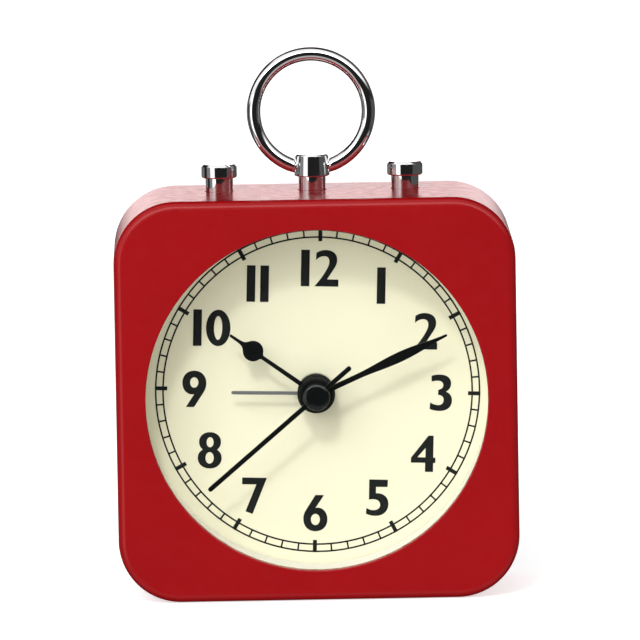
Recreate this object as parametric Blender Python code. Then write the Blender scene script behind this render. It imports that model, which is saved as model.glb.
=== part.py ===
"""Square alarm clock, built as an assembly of separate pieces. Metres, +Z up, +X right,
-Y towards the viewer. The numbers below are millimetres and mm() scales them at the end."""
import math

import bmesh
import bpy
from mathutils import Vector
from mathutils.geometry import tessellate_polygon

for old in list(bpy.data.objects):
    bpy.data.objects.remove(old)

# ---- driving dimensions (mm) -------------------------------------------------
CASE_W, CASE_H = 90.0, 90.3        # case width and height
FRONT_Y, REAR_Y = -22.5, 17.5      # case front face and rear rim
CORNER_R = 14.0                    # corner radius of the square case
EDGE_R = 2.0                       # round on the front edge
WALL = 2.2                         # side wall
FRONT_T = 2.4                      # front wall
OPEN_R = 38.35                     # round opening in the front wall
CX, CZ = 0.0, 45.15                # centre of opening, dial and hands
DIAL_Y = -3.6                      # printed face of the dial
RING_IR, RING_OR = 39.2, 40.6      # white wall ring between lens and dial
TOP_Y = 1.5                        # depth of the buttons and the ring post
BTN_X = 20.95                      # buttons, left and right of centre
BTN_R, BTN_STEM_R = 4.0, 3.1
BTN_TRAVEL = 2.0
POST_R0, POST_R1, NECK_R = 3.98, 3.7, 3.05
PIVOT_Z = 95.7                     # pivot height of the carrying ring
LOOP_R, LOOP_TUBE = 12.95, 1.54    # ring: mean radius and half thickness
HAND_HOUR, HAND_MIN, HAND_SEC, HAND_ALARM = 305.7, 66.0, 229.7, 271.4
ALARM_Y, HOUR_Y, MIN_Y, SEC_Y = -8.0, -10.6, -12.6, -15.1   # planes of the four hands
MOV_W, MOV_H = 52.0, 44.0          # movement module
GAP = 0.3                          # assembly clearance between pieces
SEAT = 17.1                        # outside face of the back cover


# ---- helpers -----------------------------------------------------------------
def material(name, color, rough, metal=0.0, alpha=1.0):
    mat = bpy.data.materials.new(name)
    mat.use_nodes = True
    bsdf = mat.node_tree.nodes["Principled BSDF"]
    bsdf.inputs["Base Color"].default_value = (*color, 1.0)
    bsdf.inputs["Roughness"].default_value = rough
    bsdf.inputs["Metallic"].default_value = metal
    bsdf.inputs["Alpha"].default_value = alpha
    return mat


def make(name, verts, faces, mat, origin=(0, 0, 0), smooth=30):
    """A mesh object from points in mm, with its origin at `origin` in mm."""
    bm = bmesh.new()
    o = Vector(origin)
    vs = [bm.verts.new((Vector(v) - o) * 0.001) for v in verts]
    for f in faces:
        bm.faces.new([vs[i] for i in f])
    bmesh.ops.recalc_face_normals(bm, faces=bm.faces)
    mesh = bpy.data.meshes.new(name)
    bm.to_mesh(mesh)
    bm.free()
    obj = bpy.data.objects.new(name, mesh)
    obj.location = o * 0.001
    bpy.context.scene.collection.objects.link(obj)
    if mat:
        mesh.materials.append(material(name, *mat))
    for p in mesh.polygons:
        p.use_smooth = True
    mesh.set_sharp_from_angle(angle=math.radians(smooth))
    return obj


def circle(r, n=24, cx=0.0, cy=0.0, phase=0.0):
    return [(cx + r * math.cos(phase + 2 * math.pi * k / n),
             cy + r * math.sin(phase + 2 * math.pi * k / n)) for k in range(n)]


def rrect(w, h, r, n=4, cx=0.0, cy=0.0):
    pts = []
    for sx, sy, a in ((1, 1, 0), (-1, 1, 90), (-1, -1, 180), (1, -1, 270)):
        for k in range(n + 1):
            t = math.radians(a + 90 * k / n)
            pts.append((cx + sx * (w / 2 - r) + r * math.cos(t),
                        cy + sy * (h / 2 - r) + r * math.sin(t)))
    return pts


def box2(x0, x1, y0, y1):
    return [(x0, y0), (x1, y0), (x1, y1), (x0, y1)]


def gear(n, m, phase=0.0):
    pts = []
    for k in range(n):
        a = phase + 2 * math.pi * k / n
        for r, t in ((m * (n / 2 + 0.70), a), (m * (n / 2 - 1.05), a + math.pi / n)):
            pts.append((r * math.cos(t), r * math.sin(t)))
    return pts


def lift(axis, p, t):
    """A point of a cross-section at height t along the axis of the stack."""
    if axis == "Y":
        return (p[0], t, p[1])
    if axis == "X":
        return (t, p[0], p[1])
    return (p[0], p[1], t)


class Shell:
    """Rings of points joined by side walls and by flat faces that may hold holes."""

    def __init__(self, axis="Y"):
        self.axis, self.v, self.f = axis, [], []

    def ring(self, loop, t):
        start = len(self.v)
        self.v += [lift(self.axis, p, t) for p in loop]
        return list(range(start, start + len(loop)))

    def side(self, a, b):
        n = len(a)
        for k in range(n):
            self.f.append((a[k], a[(k + 1) % n], b[(k + 1) % n], b[k]))

    def flat(self, *rings):
        index = [i for r in rings for i in r]
        loops = [[Vector(self.v[i]) for i in r] for r in rings]
        for tri in tessellate_polygon(loops):
            self.f.append(tuple(index[i] for i in tri))

    def tube(self, loop, t0, t1):
        a, b = self.ring(loop, t0), self.ring(loop, t1)
        self.side(a, b)
        return a, b


def shifted(loop, cx, cy):
    return [(x + cx, y + cy) for x, y in loop]


def stack(name, secs, mat, bore=None, axis="Y", at=(0.0, 0.0), origin=None, smooth=30):
    """Coaxial prisms one after another. Each cross-section lies inside its neighbour or
    around it. `bore` runs through all of them. A section may taper with a 4th value."""
    s = Shell(axis)
    ends = []
    last_loop = None
    for sec in secs:
        same = last_loop is not None and len(last_loop) == len(sec[2]) and all(
            math.dist(p, q) < 1e-6 for p, q in zip(last_loop, sec[2]))
        a = ends[-1][1] if same else s.ring(shifted(sec[2], *at), sec[0])
        last_loop = sec[3] if len(sec) > 3 else sec[2]
        b = s.ring(shifted(last_loop, *at), sec[1])
        s.side(a, b)
        ends.append((a, b))
    first, last = [ends[0][0]], [ends[-1][1]]
    if bore:
        a, b = s.tube(shifted(bore, *at), secs[0][0], secs[-1][1])
        first.append(a)
        last.append(b)
    for (_, b), (a, _) in zip(ends[:-1], ends[1:]):
        if a is b:
            continue
        s.flat(*sorted((b, a), key=lambda r: -max(abs(complex(
            *[c - d for c, d in zip(flat2(axis, s.v[i]), at)])) for i in r)))
    s.flat(*first)
    s.flat(*last)
    if origin is None:
        mid = secs[0][0]
        origin = lift(axis, at, mid)
    return make(name, s.v, s.f, mat, origin, smooth)


def flat2(axis, v):
    return {"Y": (v[0], v[2]), "X": (v[1], v[2]), "Z": (v[0], v[1])}[axis]


def plate(name, loop, t0, t1, mat, holes=(), axis="Y", origin=(0, 0, 0)):
    s = Shell(axis)
    pairs = [s.tube(lp, t0, t1) for lp in (loop, *holes)]
    s.flat(*[p[0] for p in pairs])
    s.flat(*[p[1] for p in pairs])
    return make(name, s.v, s.f, mat, origin)


def cup(name, outer, inner, t_open, t_floor, t_end, mat, holes=(), axis="Y"):
    """A box open at t_open, with its floor between t_floor and t_end."""
    s = Shell(axis)
    oa, ob = s.tube(outer, t_open, t_end)
    ia, ib = s.tube(inner, t_open, t_floor)
    s.flat(oa, ia)
    hs = [s.tube(h, t_floor, t_end) for h in holes]
    s.flat(ib, *[h[0] for h in hs])
    s.flat(ob, *[h[1] for h in hs])
    return make(name, s.v, s.f, mat)


def boolean(obj, other, operation):
    other.hide_render = True
    other.display_type = "WIRE"
    mod = obj.modifiers.new(operation.lower() + other.name, "BOOLEAN")
    mod.operation, mod.solver, mod.object = operation, "EXACT", other


def several(name, parts):
    """Helper: several closed prisms in one mesh, each (axis, loop, t0, t1)."""
    v, f = [], []
    for axis, loop, t0, t1 in parts:
        s = Shell(axis)
        a, b = s.tube(loop, t0, t1)
        s.flat(a)
        s.flat(b)
        f += [tuple(i + len(v) for i in face) for face in s.f]
        v += s.v
    return make(name, v, f, None)


def mesh_phase(n_a, phase_a, n_b, direction):
    """Phase of wheel b so that a gap of it faces a tooth of a, b lying at `direction`."""
    u = (direction - phase_a) * n_a / (2 * math.pi)
    return direction + math.pi - (0.5 - u) * 2 * math.pi / n_b


BLACK = ((0.012, 0.013, 0.013), 0.35, 0.0)
CHROME = ((0.80, 0.81, 0.82), 0.08, 1.0)
BRASS = ((0.72, 0.55, 0.26), 0.35, 1.0)
STEEL = ((0.55, 0.56, 0.57), 0.35, 1.0)
WHITE_PL = ((0.82, 0.82, 0.78), 0.5, 0.0)
NATURAL = ((0.78, 0.76, 0.68), 0.45, 0.0)
GREEN = ((0.03, 0.16, 0.07), 0.4, 0.0)

# ---- case ----------------------------------------------------------------------
def case_loop(inset):
    return rrect(CASE_W - 2 * inset, CASE_H - 2 * inset, CORNER_R - inset, 6, CX, CASE_H / 2)


c = Shell("Y")
rings = []
for k in range(4):
    t = math.radians(90 * k / 3)
    rings.append(c.ring(case_loop(EDGE_R * (1 - math.sin(t))), FRONT_Y + EDGE_R * (1 - math.cos(t))))
rings.append(c.ring(case_loop(0.0), REAR_Y - 1.0))
rings.append(c.ring(case_loop(1.0), REAR_Y))
for a, b in zip(rings[:-1], rings[1:]):
    c.side(a, b)
inner_rear = c.ring(case_loop(WALL), REAR_Y)
inner_front = c.ring(case_loop(WALL), FRONT_Y + FRONT_T)
c.side(inner_rear, inner_front)
hole = circle(OPEN_R, 72, CX, CZ)
h0, h1 = c.tube(hole, FRONT_Y, FRONT_Y + FRONT_T)
c.flat(rings[0], h0)
c.flat(inner_front, h1)
c.flat(rings[-1], inner_rear)
case = make("case_shell", c.v, c.f, ((0.42, 0.006, 0.010), 0.28, 0.0))
BOSS = [(sx * 37.8, z) for sx in (-1, 1) for z in (7.4, CASE_H - 7.4)]
bosses = several("boss_helper", [("Y", circle(3.2, 12, x, z), -10.0, 14.6) for x, z in BOSS])
boolean(case, bosses, "UNION")
cuts = [("Y", circle(1.35, 10, x, z), 4.0, 16.0) for x, z in BOSS]
cuts += [("Z", circle(NECK_R + 0.35, 20, x, TOP_Y), CASE_H - 4.0, CASE_H + 2.0) for x in (-BTN_X, 0.0, BTN_X)]
boolean(case, several("hole_helper", cuts), "DIFFERENCE")

# ---- glazing, wall ring and dial -------------------------------------------------
LENS_Y = FRONT_Y + FRONT_T + GAP
lens = stack("lens", [(LENS_Y, LENS_Y + 1.3, circle(41.0, 48))],
             ((0.9, 0.92, 0.92), 0.03, 0.0, 0.15), at=(CX, CZ))
stack("spacer_ring", [(LENS_Y + 1.6, DIAL_Y - GAP, circle(RING_OR, 56))],
      ((0.83, 0.82, 0.76), 0.45), bore=circle(RING_IR, 56), at=(CX, CZ))
stack("dial_plate", [(DIAL_Y, DIAL_Y + 0.9, circle(41.2, 56))],
      ((0.95, 0.92, 0.76), 0.6), bore=circle(3.6, 20), at=(CX, CZ))

# ---- movement --------------------------------------------------------------------
CEN = (CX, CZ)
MF0, MF1 = DIAL_Y + 0.9 + GAP, DIAL_Y + 0.9 + GAP + 1.2      # front plate
mov = rrect(MOV_W, MOV_H, 3.0, 2)


def polar(c0, d, deg):
    return (c0[0] + d * math.cos(math.radians(deg)), c0[1] + d * math.sin(math.radians(deg)))


# wheel centres in the X-Z plane and tooth counts; every pair below is in mesh
M1, M2 = 0.40, 0.50
THIRD_D, THIRD_A = M1 * (6 + 45) / 2, 150.0
M_CENTRE = 2 * THIRD_D / (6 + 48)
INTER_D, INTER_A = M1 * (6 + 36) / 2, 300.0
ROTOR_D, ROTOR_A = M1 * (6 + 30) / 2, 340.0
MOTION_D, MOTION_A = 8.0, 60.0
M_MO1, M_MO2 = 2 * MOTION_D / (8 + 24), 2 * MOTION_D / (8 + 32)
SET_D, SET_A = M_MO1 * (24 + 12) / 2, 30.0
ALSET_D, ALSET_A = M2 * (24 + 24) / 2, 240.0
THIRD = polar(CEN, THIRD_D, THIRD_A)
INTER = polar(CEN, INTER_D, INTER_A)
ROTOR = polar(INTER, ROTOR_D, ROTOR_A)
MOTION = polar(CEN, MOTION_D, MOTION_A)
SETP = polar(MOTION, SET_D, SET_A)
ALSET = polar(CEN, ALSET_D, ALSET_A)
rad = math.radians
PH_SECW, PH_SECP, PH_CEN, PH_MINP, PH_HOUR, PH_ALARM = 0.0, 0.1, 0.0, 0.2, 0.0, 0.0
PH_THIRDW = mesh_phase(6, PH_SECP, 45, rad(THIRD_A))
PH_THIRDP = mesh_phase(48, PH_CEN, 6, rad(THIRD_A))
PH_INTERP = mesh_phase(36, PH_SECW, 6, rad(INTER_A))
PH_INTERW = 0.05
PH_ROTOR = mesh_phase(30, PH_INTERW, 6, rad(ROTOR_A))
PH_MOW = mesh_phase(8, PH_MINP, 24, rad(MOTION_A))
PH_MOP = mesh_phase(32, PH_HOUR, 8, rad(MOTION_A))
PH_SET = mesh_phase(24, PH_MOW, 12, rad(SET_A))
PH_ALSET = mesh_phase(24, PH_ALARM, 24, rad(ALSET_A))

stack("movement_front_plate", [
    (-6.2, MF0, circle(3.3, 20)),
    (MF0, MF1, mov),
], NATURAL, bore=circle(2.8, 20), at=CEN)
stack("dial_nut", [(-5.9, DIAL_Y - 0.25, circle(4.2, 24))], BLACK, bore=circle(3.58, 18), at=CEN)
holes = [shifted(circle(1.75, 14), *(p[0], p[1])) for p in (SETP, ALSET)]
cup("movement_housing", shifted(mov, *CEN), shifted(rrect(MOV_W - 2.4, MOV_H - 2.4, 2.0, 2), *CEN),
    MF1 + GAP, 12.2, 13.2, NATURAL, holes)
mid = shifted(rrect(44.0, 34.0, 2.0, 2), CX, CZ + 1.0)
plate("middle_plate", mid, 4.4, 5.2, WHITE_PL, [
    circle(1.75, 14, *CEN), circle(2.3, 14, *THIRD), circle(0.8, 10, *INTER), circle(0.8, 10, *ROTOR),
    circle(1.5, 14, *SETP), circle(1.5, 14, *ALSET)])

P = 0.45  # pivot radius
stack("seconds_wheel", [
    (SEC_Y + 0.2, 4.9, circle(0.42, 10)),
    (4.9, 6.4, gear(6, M1, PH_SECP)),
    (6.4, 6.8, circle(0.7, 10)),
    (6.8, 7.6, gear(36, M1, PH_SECW)),
    (7.6, 11.9, circle(P, 10)),
], WHITE_PL, at=CEN)
stack("minute_wheel", [
    (MIN_Y - 0.3, 1.9, circle(1.05, 14)),
    (1.9, 2.7, gear(8, M_MO1, PH_MINP)),
    (2.7, 3.2, circle(1.25, 14)),
    (3.2, 4.0, gear(48, M_CENTRE, PH_CEN)),
], NATURAL, bore=circle(0.7, 12), at=CEN)
stack("hour_wheel", [
    (HOUR_Y - 0.3, 0.6, circle(1.75, 14)),
    (0.6, 1.4, gear(32, M_MO2, PH_HOUR)),
], WHITE_PL, bore=circle(1.32, 14), at=CEN)
stack("alarm_wheel", [
    (ALARM_Y - 0.3, -0.7, circle(2.5, 16)),
    (-0.7, 0.15, gear(24, M2, PH_ALARM)),
], NATURAL, bore=circle(2.02, 16), at=CEN)
stack("third_wheel", [
    (2.9, 3.2, circle(P, 10)),
    (3.2, 5.3, gear(6, M_CENTRE, PH_THIRDP)),
    (5.3, 5.6, circle(0.6, 10)),
    (5.6, 6.4, gear(45, M1, PH_THIRDW)),
    (6.4, 11.9, circle(P, 10)),
], NATURAL, at=THIRD)
stack("intermediate_wheel", [
    (4.5, 6.8, circle(P, 10)),
    (6.8, 7.7, gear(6, M1, PH_INTERP)),
    (7.7, 8.0, circle(0.6, 10)),
    (8.0, 8.8, gear(30, M1, PH_INTERW)),
    (8.8, 11.9, circle(P, 10)),
], WHITE_PL, at=INTER)
stack("rotor", [
    (4.5, 8.0, circle(P, 10)),
    (8.0, 9.0, gear(6, M1, PH_ROTOR)),
    (9.0, 10.5, circle(1.7, 14)),
    (10.5, 11.9, circle(P, 10)),
], ((0.12, 0.12, 0.13), 0.4, 0.6), at=ROTOR)
stack("motion_wheel", [
    (-1.0, 0.6, circle(P, 10)),
    (0.6, 1.6, gear(8, M_MO2, PH_MOP)),
    (1.6, 1.9, circle(0.6, 10)),
    (1.9, 2.7, gear(24, M_MO1, PH_MOW)),
], WHITE_PL, at=MOTION)
KNOB0, KNOB1 = 17.7, 22.5
stack("time_set_arbor", [
    (1.5, 1.9, circle(P, 10)),
    (1.9, 2.7, gear(12, M_MO1, PH_SET)),
    (2.7, KNOB1 - 1.8, circle(1.2, 12)),
], NATURAL, at=SETP)
stack("alarm_set_arbor", [
    (-1.1, -0.7, circle(P, 10)),
    (-0.7, 0.15, gear(24, M2, PH_ALSET)),
    (0.15, KNOB1 - 1.8, circle(1.2, 12)),
], NATURAL, at=ALSET)


def knob(name, at):
    ridge, n = [], 18
    for k in range(2 * n):
        r = 5.5 if k % 2 == 0 else 5.1
        ridge.append((r * math.cos(math.pi * k / n), r * math.sin(math.pi * k / n)))
    low = [(x * 0.9, y * 0.9) for x, y in ridge]
    s = Shell("Y")
    a, b = s.ring(shifted(ridge, *at), KNOB0), s.ring(shifted(ridge, *at), KNOB1 - 0.5)
    e = s.ring(shifted(low, *at), KNOB1)
    s.side(a, b)
    s.side(b, e)
    s.flat(e)
    i0, i1 = s.tube(circle(1.5, 12, *at), KNOB0, KNOB1 - 1.5)
    s.flat(a, i0)
    s.flat(i1)
    return make(name, s.v, s.f, BLACK, (at[0], KNOB0, at[1]))


knob("time_set_knob", SETP)
knob("alarm_set_knob", ALSET)

# stepping motor: stator loop with the rotor hole, and its coil
SX, SZ = CX, CZ
stator_out = [(SX - 16, SZ - 18.4), (SX + 14.6, SZ - 18.4), (SX + 14.6, SZ - 6.2), (SX + 7.4, SZ - 6.2),
              (SX + 7.4, SZ - 12.5), (SX - 16, SZ - 12.5)]
stator_in = box2(SX - 13.0, SX + 7.2, SZ - 16.6, SZ - 14.3)
plate("stator", stator_out, 9.3, 10.2, STEEL, [stator_in, circle(2.2, 16, *ROTOR)])
cs = Shell("X")
ca, cb = cs.tube([(9.75 + 2.05 * math.cos(a), SZ - 17.5 + 2.9 * math.sin(a)) for a in
                  [2 * math.pi * k / 16 for k in range(16)]], SX - 12.0, SX + 6.0)
# the winding is open round the stator's lower bar
cia, cib = cs.tube(box2(9.0, 10.5, SZ - 18.8, SZ - 16.2), SX - 12.0, SX + 6.0)
cs.flat(ca, cia)
cs.flat(cb, cib)
make("coil", cs.v, cs.f, ((0.55, 0.22, 0.08), 0.35, 0.7))
plate("circuit_board", box2(CX - 21, CX + 6, CZ + 8.5, CZ + 19.5), 10.6, 11.6, GREEN)
stack("buzzer", [(9.2, 14.3, circle(7.6, 24)), (14.3, 14.7, circle(5.0, 16))],
      ((0.02, 0.02, 0.02), 0.5), at=(34.2, 33.0))

# ---- hands -----------------------------------------------------------------------
def hand(name, y, t, hub_r, hub_t, bore_r, angle, outline, mat, hub_n=22):
    """Flat blade with its round hub: `outline` holds (distance, half width) towards the tip
    and, with negative distances, the tail."""
    a = math.radians(angle)
    tip = [(r, w) for r, w in outline if r > 0]
    tail = [(r, w) for r, w in outline if r < 0]

    def place(r, w):
        return (CX + r * math.sin(a) + w * math.cos(a), CZ + r * math.cos(a) - w * math.sin(a))

    def arc(r_in_w, sign):
        """angle at which a blade of half width w leaves the hub"""
        return math.asin(r_in_w / hub_r)

    loop = []
    w0 = tip[0][1]
    t0 = arc(w0, 1)
    # right side of the blade out to the tip, then back on the left side
    loop += [place(r, w) for r, w in tip]
    loop += [place(r, -w) for r, w in reversed(tip)]
    start = t0
    end = (math.pi - arc(tail[0][1], 1)) if tail else (2 * math.pi - t0)
    steps = hub_n // 2 if tail else hub_n
    ang = [start + (end - start) * k / steps for k in range(1, steps)]
    left = [place(hub_r * math.cos(q), -hub_r * math.sin(q)) for q in [start] + ang + [end]]
    loop += left
    if tail:
        loop += [place(r, -w) for r, w in tail]
        loop += [place(r, w) for r, w in reversed(tail)]
        loop += [place(hub_r * math.cos(q), hub_r * math.sin(q)) for q in [end] + ang[::-1] + [start]]
    s = Shell("Y")
    lo, hi = s.tube(loop, y - t / 2, y + t / 2)
    # the hub stands proud of the blade at the front and the rear
    f0, f1 = s.tube(circle(hub_r - 0.25, hub_n, CX, CZ), y - hub_t / 2, y - t / 2)
    g0, g1 = s.tube(circle(hub_r - 0.25, hub_n, CX, CZ), y + t / 2, y + hub_t / 2)
    s.flat(lo, f1)
    s.flat(hi, g0)
    if bore_r:
        b0, b1 = s.tube(circle(bore_r, 14, CX, CZ), y - hub_t / 2, y + hub_t / 2)
        s.flat(f0, b0)
        s.flat(g1, b1)
    else:
        s.flat(f0)
        s.flat(g1)
    return make(name, s.v, s.f, mat, (CX, y, CZ))


def smooth01(v):
    v = min(1.0, max(0.0, v))
    return 0.5 - 0.5 * math.cos(math.pi * v)


# hour hand: needle point, round disc, slim stem
hour = [(4.4, 0.52), (14.75, 0.44)]
DISC_C, DISC_R = 17.3, 2.33
for k in range(1, 13):
    q = math.radians(14 + (140 - 14) * k / 12)
    r = DISC_C - DISC_R * math.cos(q)
    w = DISC_R * math.sin(q)
    hour.append((r, w))
for r in (19.5, 20.0, 20.6, 21.4, 22.5, 23.4):
    hour.append((r, 0.30 + 0.05 * (23.65 - r) / 3 + 0.75 * math.exp(-(r - 19.4) / 0.55)))
hour.append((23.65, 0.12))
hand("hour_hand", HOUR_Y, 0.5, 4.25, 1.5, 2.0, HAND_HOUR, hour, BLACK)
# minute hand: long leaf, widest at two thirds
minute = [(4.0, 0.60), (9.6, 0.60)]
for k in range(0, 13):
    r = 10.4 + (31.8 - 10.4) * k / 12
    if r < 20.6:
        w = 1.2 + 1.07 * smooth01(1 - (20.6 - r) / 10.6)
    else:
        w = 0.55 + 1.72 * smooth01(1 - (r - 20.6) / 11.8) ** 0.85
    minute.append((r, w / 2))
minute.append((32.4, 0.14))
hand("minute_hand", MIN_Y, 0.5, 3.9, 1.3, 1.3, HAND_MIN, minute, BLACK)
second = [(3.2, 0.535), (31.75, 0.535), (32.1, 0.35), (32.2, 0.12), (-3.2, 0.535), (-9.8, 0.535),
          (-10.1, 0.35), (-10.2, 0.12)]
hand("second_hand", SEC_Y, 0.45, 2.7, 1.3, 0.7, HAND_SEC, second, BLACK)
hand("alarm_hand", ALARM_Y, 0.5, 3.4, 0.9, 2.75, HAND_ALARM,
     [(3.5, 0.40), (18.8, 0.40), (19.1, 0.2)], ((0.20, 0.20, 0.20), 0.35, 0.6))
stack("alarm_hand_hub", [(ALARM_Y + 0.75, ALARM_Y + 0.95, circle(4.0, 28), circle(4.2, 28)),
                         (ALARM_Y + 0.95, ALARM_Y + 1.5, circle(4.2, 28))],
      BLACK, bore=circle(2.75, 16), at=CEN)
stack("hand_cap", [(SEC_Y - 1.55, SEC_Y - 1.3, circle(2.3, 24), circle(2.75, 24)),
                   (SEC_Y - 1.3, SEC_Y - 0.95, circle(2.75, 24), circle(3.08, 24)),
                   (SEC_Y - 0.95, SEC_Y - 0.8, circle(3.08, 24))],
      BLACK, at=CEN)

# ---- buttons, post and carrying ring ----------------------------------------------
TOP = CASE_H


def button(name, x):
    at = (x, TOP_Y)
    stack(name, [
        (79.6, 86.6, circle(1.55, 14)),
        (86.6, 93.4, circle(BTN_STEM_R, 24)),
        (93.4, 93.65, circle(BTN_R - 0.25, 28), circle(BTN_R, 28)),
        (93.65, 96.0, circle(BTN_R, 28)),
        (96.0, 96.5, circle(BTN_R, 28), circle(BTN_R - 0.45, 28)),
    ], CHROME, axis="Z", at=at)
    # retaining clip on the thin end, under the shoulder
    ring, n = [], 20
    a0, a1 = math.radians(55), math.radians(395)
    ring += [(x + 3.9 * math.cos(a0 + (a1 - a0) * k / n), TOP_Y + 3.9 * math.sin(a0 + (a1 - a0) * k / n))
             for k in range(n + 1)]
    ring += [(x + 1.85 * math.cos(a1 - (a1 - a0) * k / n), TOP_Y + 1.85 * math.sin(a1 - (a1 - a0) * k / n))
             for k in range(n + 1)]
    plate(name + "_clip", ring, 85.4, 86.3, STEEL, axis="Z", origin=(x, TOP_Y, 85.4))
    coil(name + "_spring", x)
    stack(name + "_switch", [
        (74.6, 76.6, box2(-3, 3, -3, 3)),
        (76.6, 77.25, circle(1.5, 12)),
    ], ((0.02, 0.02, 0.022), 0.45), axis="Z", at=at)


def coil(name, x, z0=77.3, z1=85.05, mean=2.35, wire=0.26, turns=4.0, per=9, sides=4):
    """Helical spring with half a flat turn at each end."""
    v, f, rows = [], [], []
    total = int((turns + 1) * per)
    for k in range(total + 1):
        u = k / per
        rise = min(max(u - 0.5, 0.0), turns) / turns
        z = z0 + wire + (z1 - z0 - 2 * wire) * rise
        a = 2 * math.pi * u
        row = []
        for j in range(sides):
            b = 2 * math.pi * j / sides
            r = mean + wire * math.cos(b)
            row.append(len(v))
            v.append((x + r * math.cos(a), TOP_Y + r * math.sin(a), z + wire * math.sin(b)))
        rows.append(row)
    for a, b in zip(rows[:-1], rows[1:]):
        for j in range(sides):
            f.append((a[j], a[(j + 1) % sides], b[(j + 1) % sides], b[j]))
    f.append(tuple(rows[0]))
    f.append(tuple(rows[-1]))
    return make(name, v, f, STEEL, (x, TOP_Y, z0), 60)


button("alarm_button", -BTN_X)
button("snooze_button", BTN_X)
plate("switch_board", box2(-30, 30, TOP_Y - 3.6, TOP_Y + 9), 72.9, 74.3, GREEN, axis="Z")

post = stack("ring_post", [
    (82.5, 87.9, circle(2.0, 14)),
    (87.9, 93.5, circle(NECK_R, 22)),
    (93.5, 93.7, circle(POST_R0 - 0.2, 28), circle(POST_R0, 28)),
    (93.7, 98.1, circle(POST_R0, 28), circle(POST_R1, 28)),
    (98.1, 98.4, circle(POST_R1, 28), circle(POST_R1 - 0.3, 28)),
], CHROME, axis="Z", at=(0.0, TOP_Y))
pcut = several("pivot_hole_helper", [("X", circle(1.2, 16, TOP_Y, PIVOT_Z), -6, 6)])
boolean(post, pcut, "DIFFERENCE")
boolean(post, several("seat_helper", [("X", circle(1.82, 20, TOP_Y, PIVOT_Z), -6, -3.5),
                                      ("X", circle(1.82, 20, TOP_Y, PIVOT_Z), 3.5, 6)]), "DIFFERENCE")
stack("ring_post_nut", [(84.2, 87.8, circle(4.1, 6))], STEEL, bore=circle(2.0 + GAP, 16),
      axis="Z", at=(0.0, TOP_Y))

# carrying ring: an almost full circle whose two ends carry pivot pins along X
LZ = PIVOT_Z + math.sqrt(LOOP_R ** 2 - 3.8 ** 2)
v, f, rows = [], [], []
half = math.asin(3.8 / LOOP_R)
N, S = 36, 10
path = []
path.append((-0.5, PIVOT_Z, 0.0, 0.9))
path.append((-3.8, PIVOT_Z, 0.0, 0.9))
path.append((-3.8, PIVOT_Z, 0.0, LOOP_TUBE))
for k in range(1, N):
    q = half + (2 * math.pi - 2 * half) * k / N
    path.append((-LOOP_R * math.sin(q), LZ - LOOP_R * math.cos(q), q, LOOP_TUBE))
path.append((3.8, PIVOT_Z, 0.0, LOOP_TUBE))
path.append((3.8, PIVOT_Z, 0.0, 0.9))
path.append((0.5, PIVOT_Z, 0.0, 0.9))
for x, z, q, r in path:
    row = []
    for j in range(S):
        b = 2 * math.pi * j / S
        rr, yy = r * math.cos(b), r * math.sin(b)
        # outward from the ring's centre at angle q, measured from straight down
        row.append(len(v))
        v.append((x - rr * math.sin(q), TOP_Y + yy, z - rr * math.cos(q)))
    rows.append(row)
for k, (a, b) in enumerate(zip(rows[:-1], rows[1:])):
    for j in range(S):
        f.append((a[j], a[(j + 1) % S], b[(j + 1) % S], b[j]))
f.append(tuple(rows[0]))
f.append(tuple(rows[-1]))
make("carry_ring", v, f, CHROME, (0.0, TOP_Y, PIVOT_Z), 60)

# ---- back cover, battery and screws -------------------------------------------------
COVER0 = SEAT - 1.9
bx, bz0, bz1 = 28.0, 5.9, 22.1
slots = [rrect(1.6, 11.0, 0.7, 2, 34.2 + dx, 33.0) for dx in (-4.8, -1.6, 1.6, 4.8)]
cover_holes = [circle(1.75, 14, *SETP), circle(1.75, 14, *ALSET), box2(-bx, bx, bz0, bz1)]
# each hole is turned a little differently, so that no points of two holes lie in one line
cover_holes += [circle(1.5, 10, x, z, 0.11 + 0.07 * k) for k, (x, z) in enumerate(BOSS)] + slots
cover = plate("back_cover", rrect(CASE_W - 2 * WALL - 0.6, CASE_H - 2 * WALL - 0.6, CORNER_R - WALL - 0.3, 5, CX, CASE_H / 2),
              COVER0, SEAT, BLACK, cover_holes)
tray = cup("tray_helper", box2(-28.8, 28.8, 5.1, 22.8), box2(-27.4, 27.4, 6.5, 21.5), COVER0 + 0.3, -0.4, -1.4, None)
boolean(cover, tray, "UNION")
boolean(cover, several("shelf_helper", [("Z", box2(-31, 31, -1.2, COVER0 + 0.6), 71.3, 72.6)]), "UNION")
door_loop = box2(-bx + GAP, bx - GAP, bz0 + GAP, bz1 - GAP)
plate("battery_door", door_loop, COVER0 + 0.6, SEAT, BLACK, origin=(0, SEAT, bz0 + GAP))
door_grip = several("grip_helper", [("X", [(SEAT - 0.6, 18.6 + k * 0.9), (SEAT + 0.2, 18.4 + k * 0.9), (SEAT + 0.2, 18.8 + k * 0.9)], -6.0, 6.0) for k in range(3)])
boolean(bpy.data.objects["battery_door"], door_grip, "DIFFERENCE")
BY, BZ = 7.2, 14.1
stack("battery_cell", [
    (-24.6, 23.8, circle(7.05, 24)),
    (23.8, 25.2, circle(2.6, 16)),
], ((0.05, 0.12, 0.30), 0.35, 0.2), axis="X", at=(BY, BZ))
plate("battery_contact_plus", box2(BY - 5.0, BY + 5.0, BZ - 4.5, BZ + 4.5), 25.6, 26.2, STEEL, axis="X")


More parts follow.
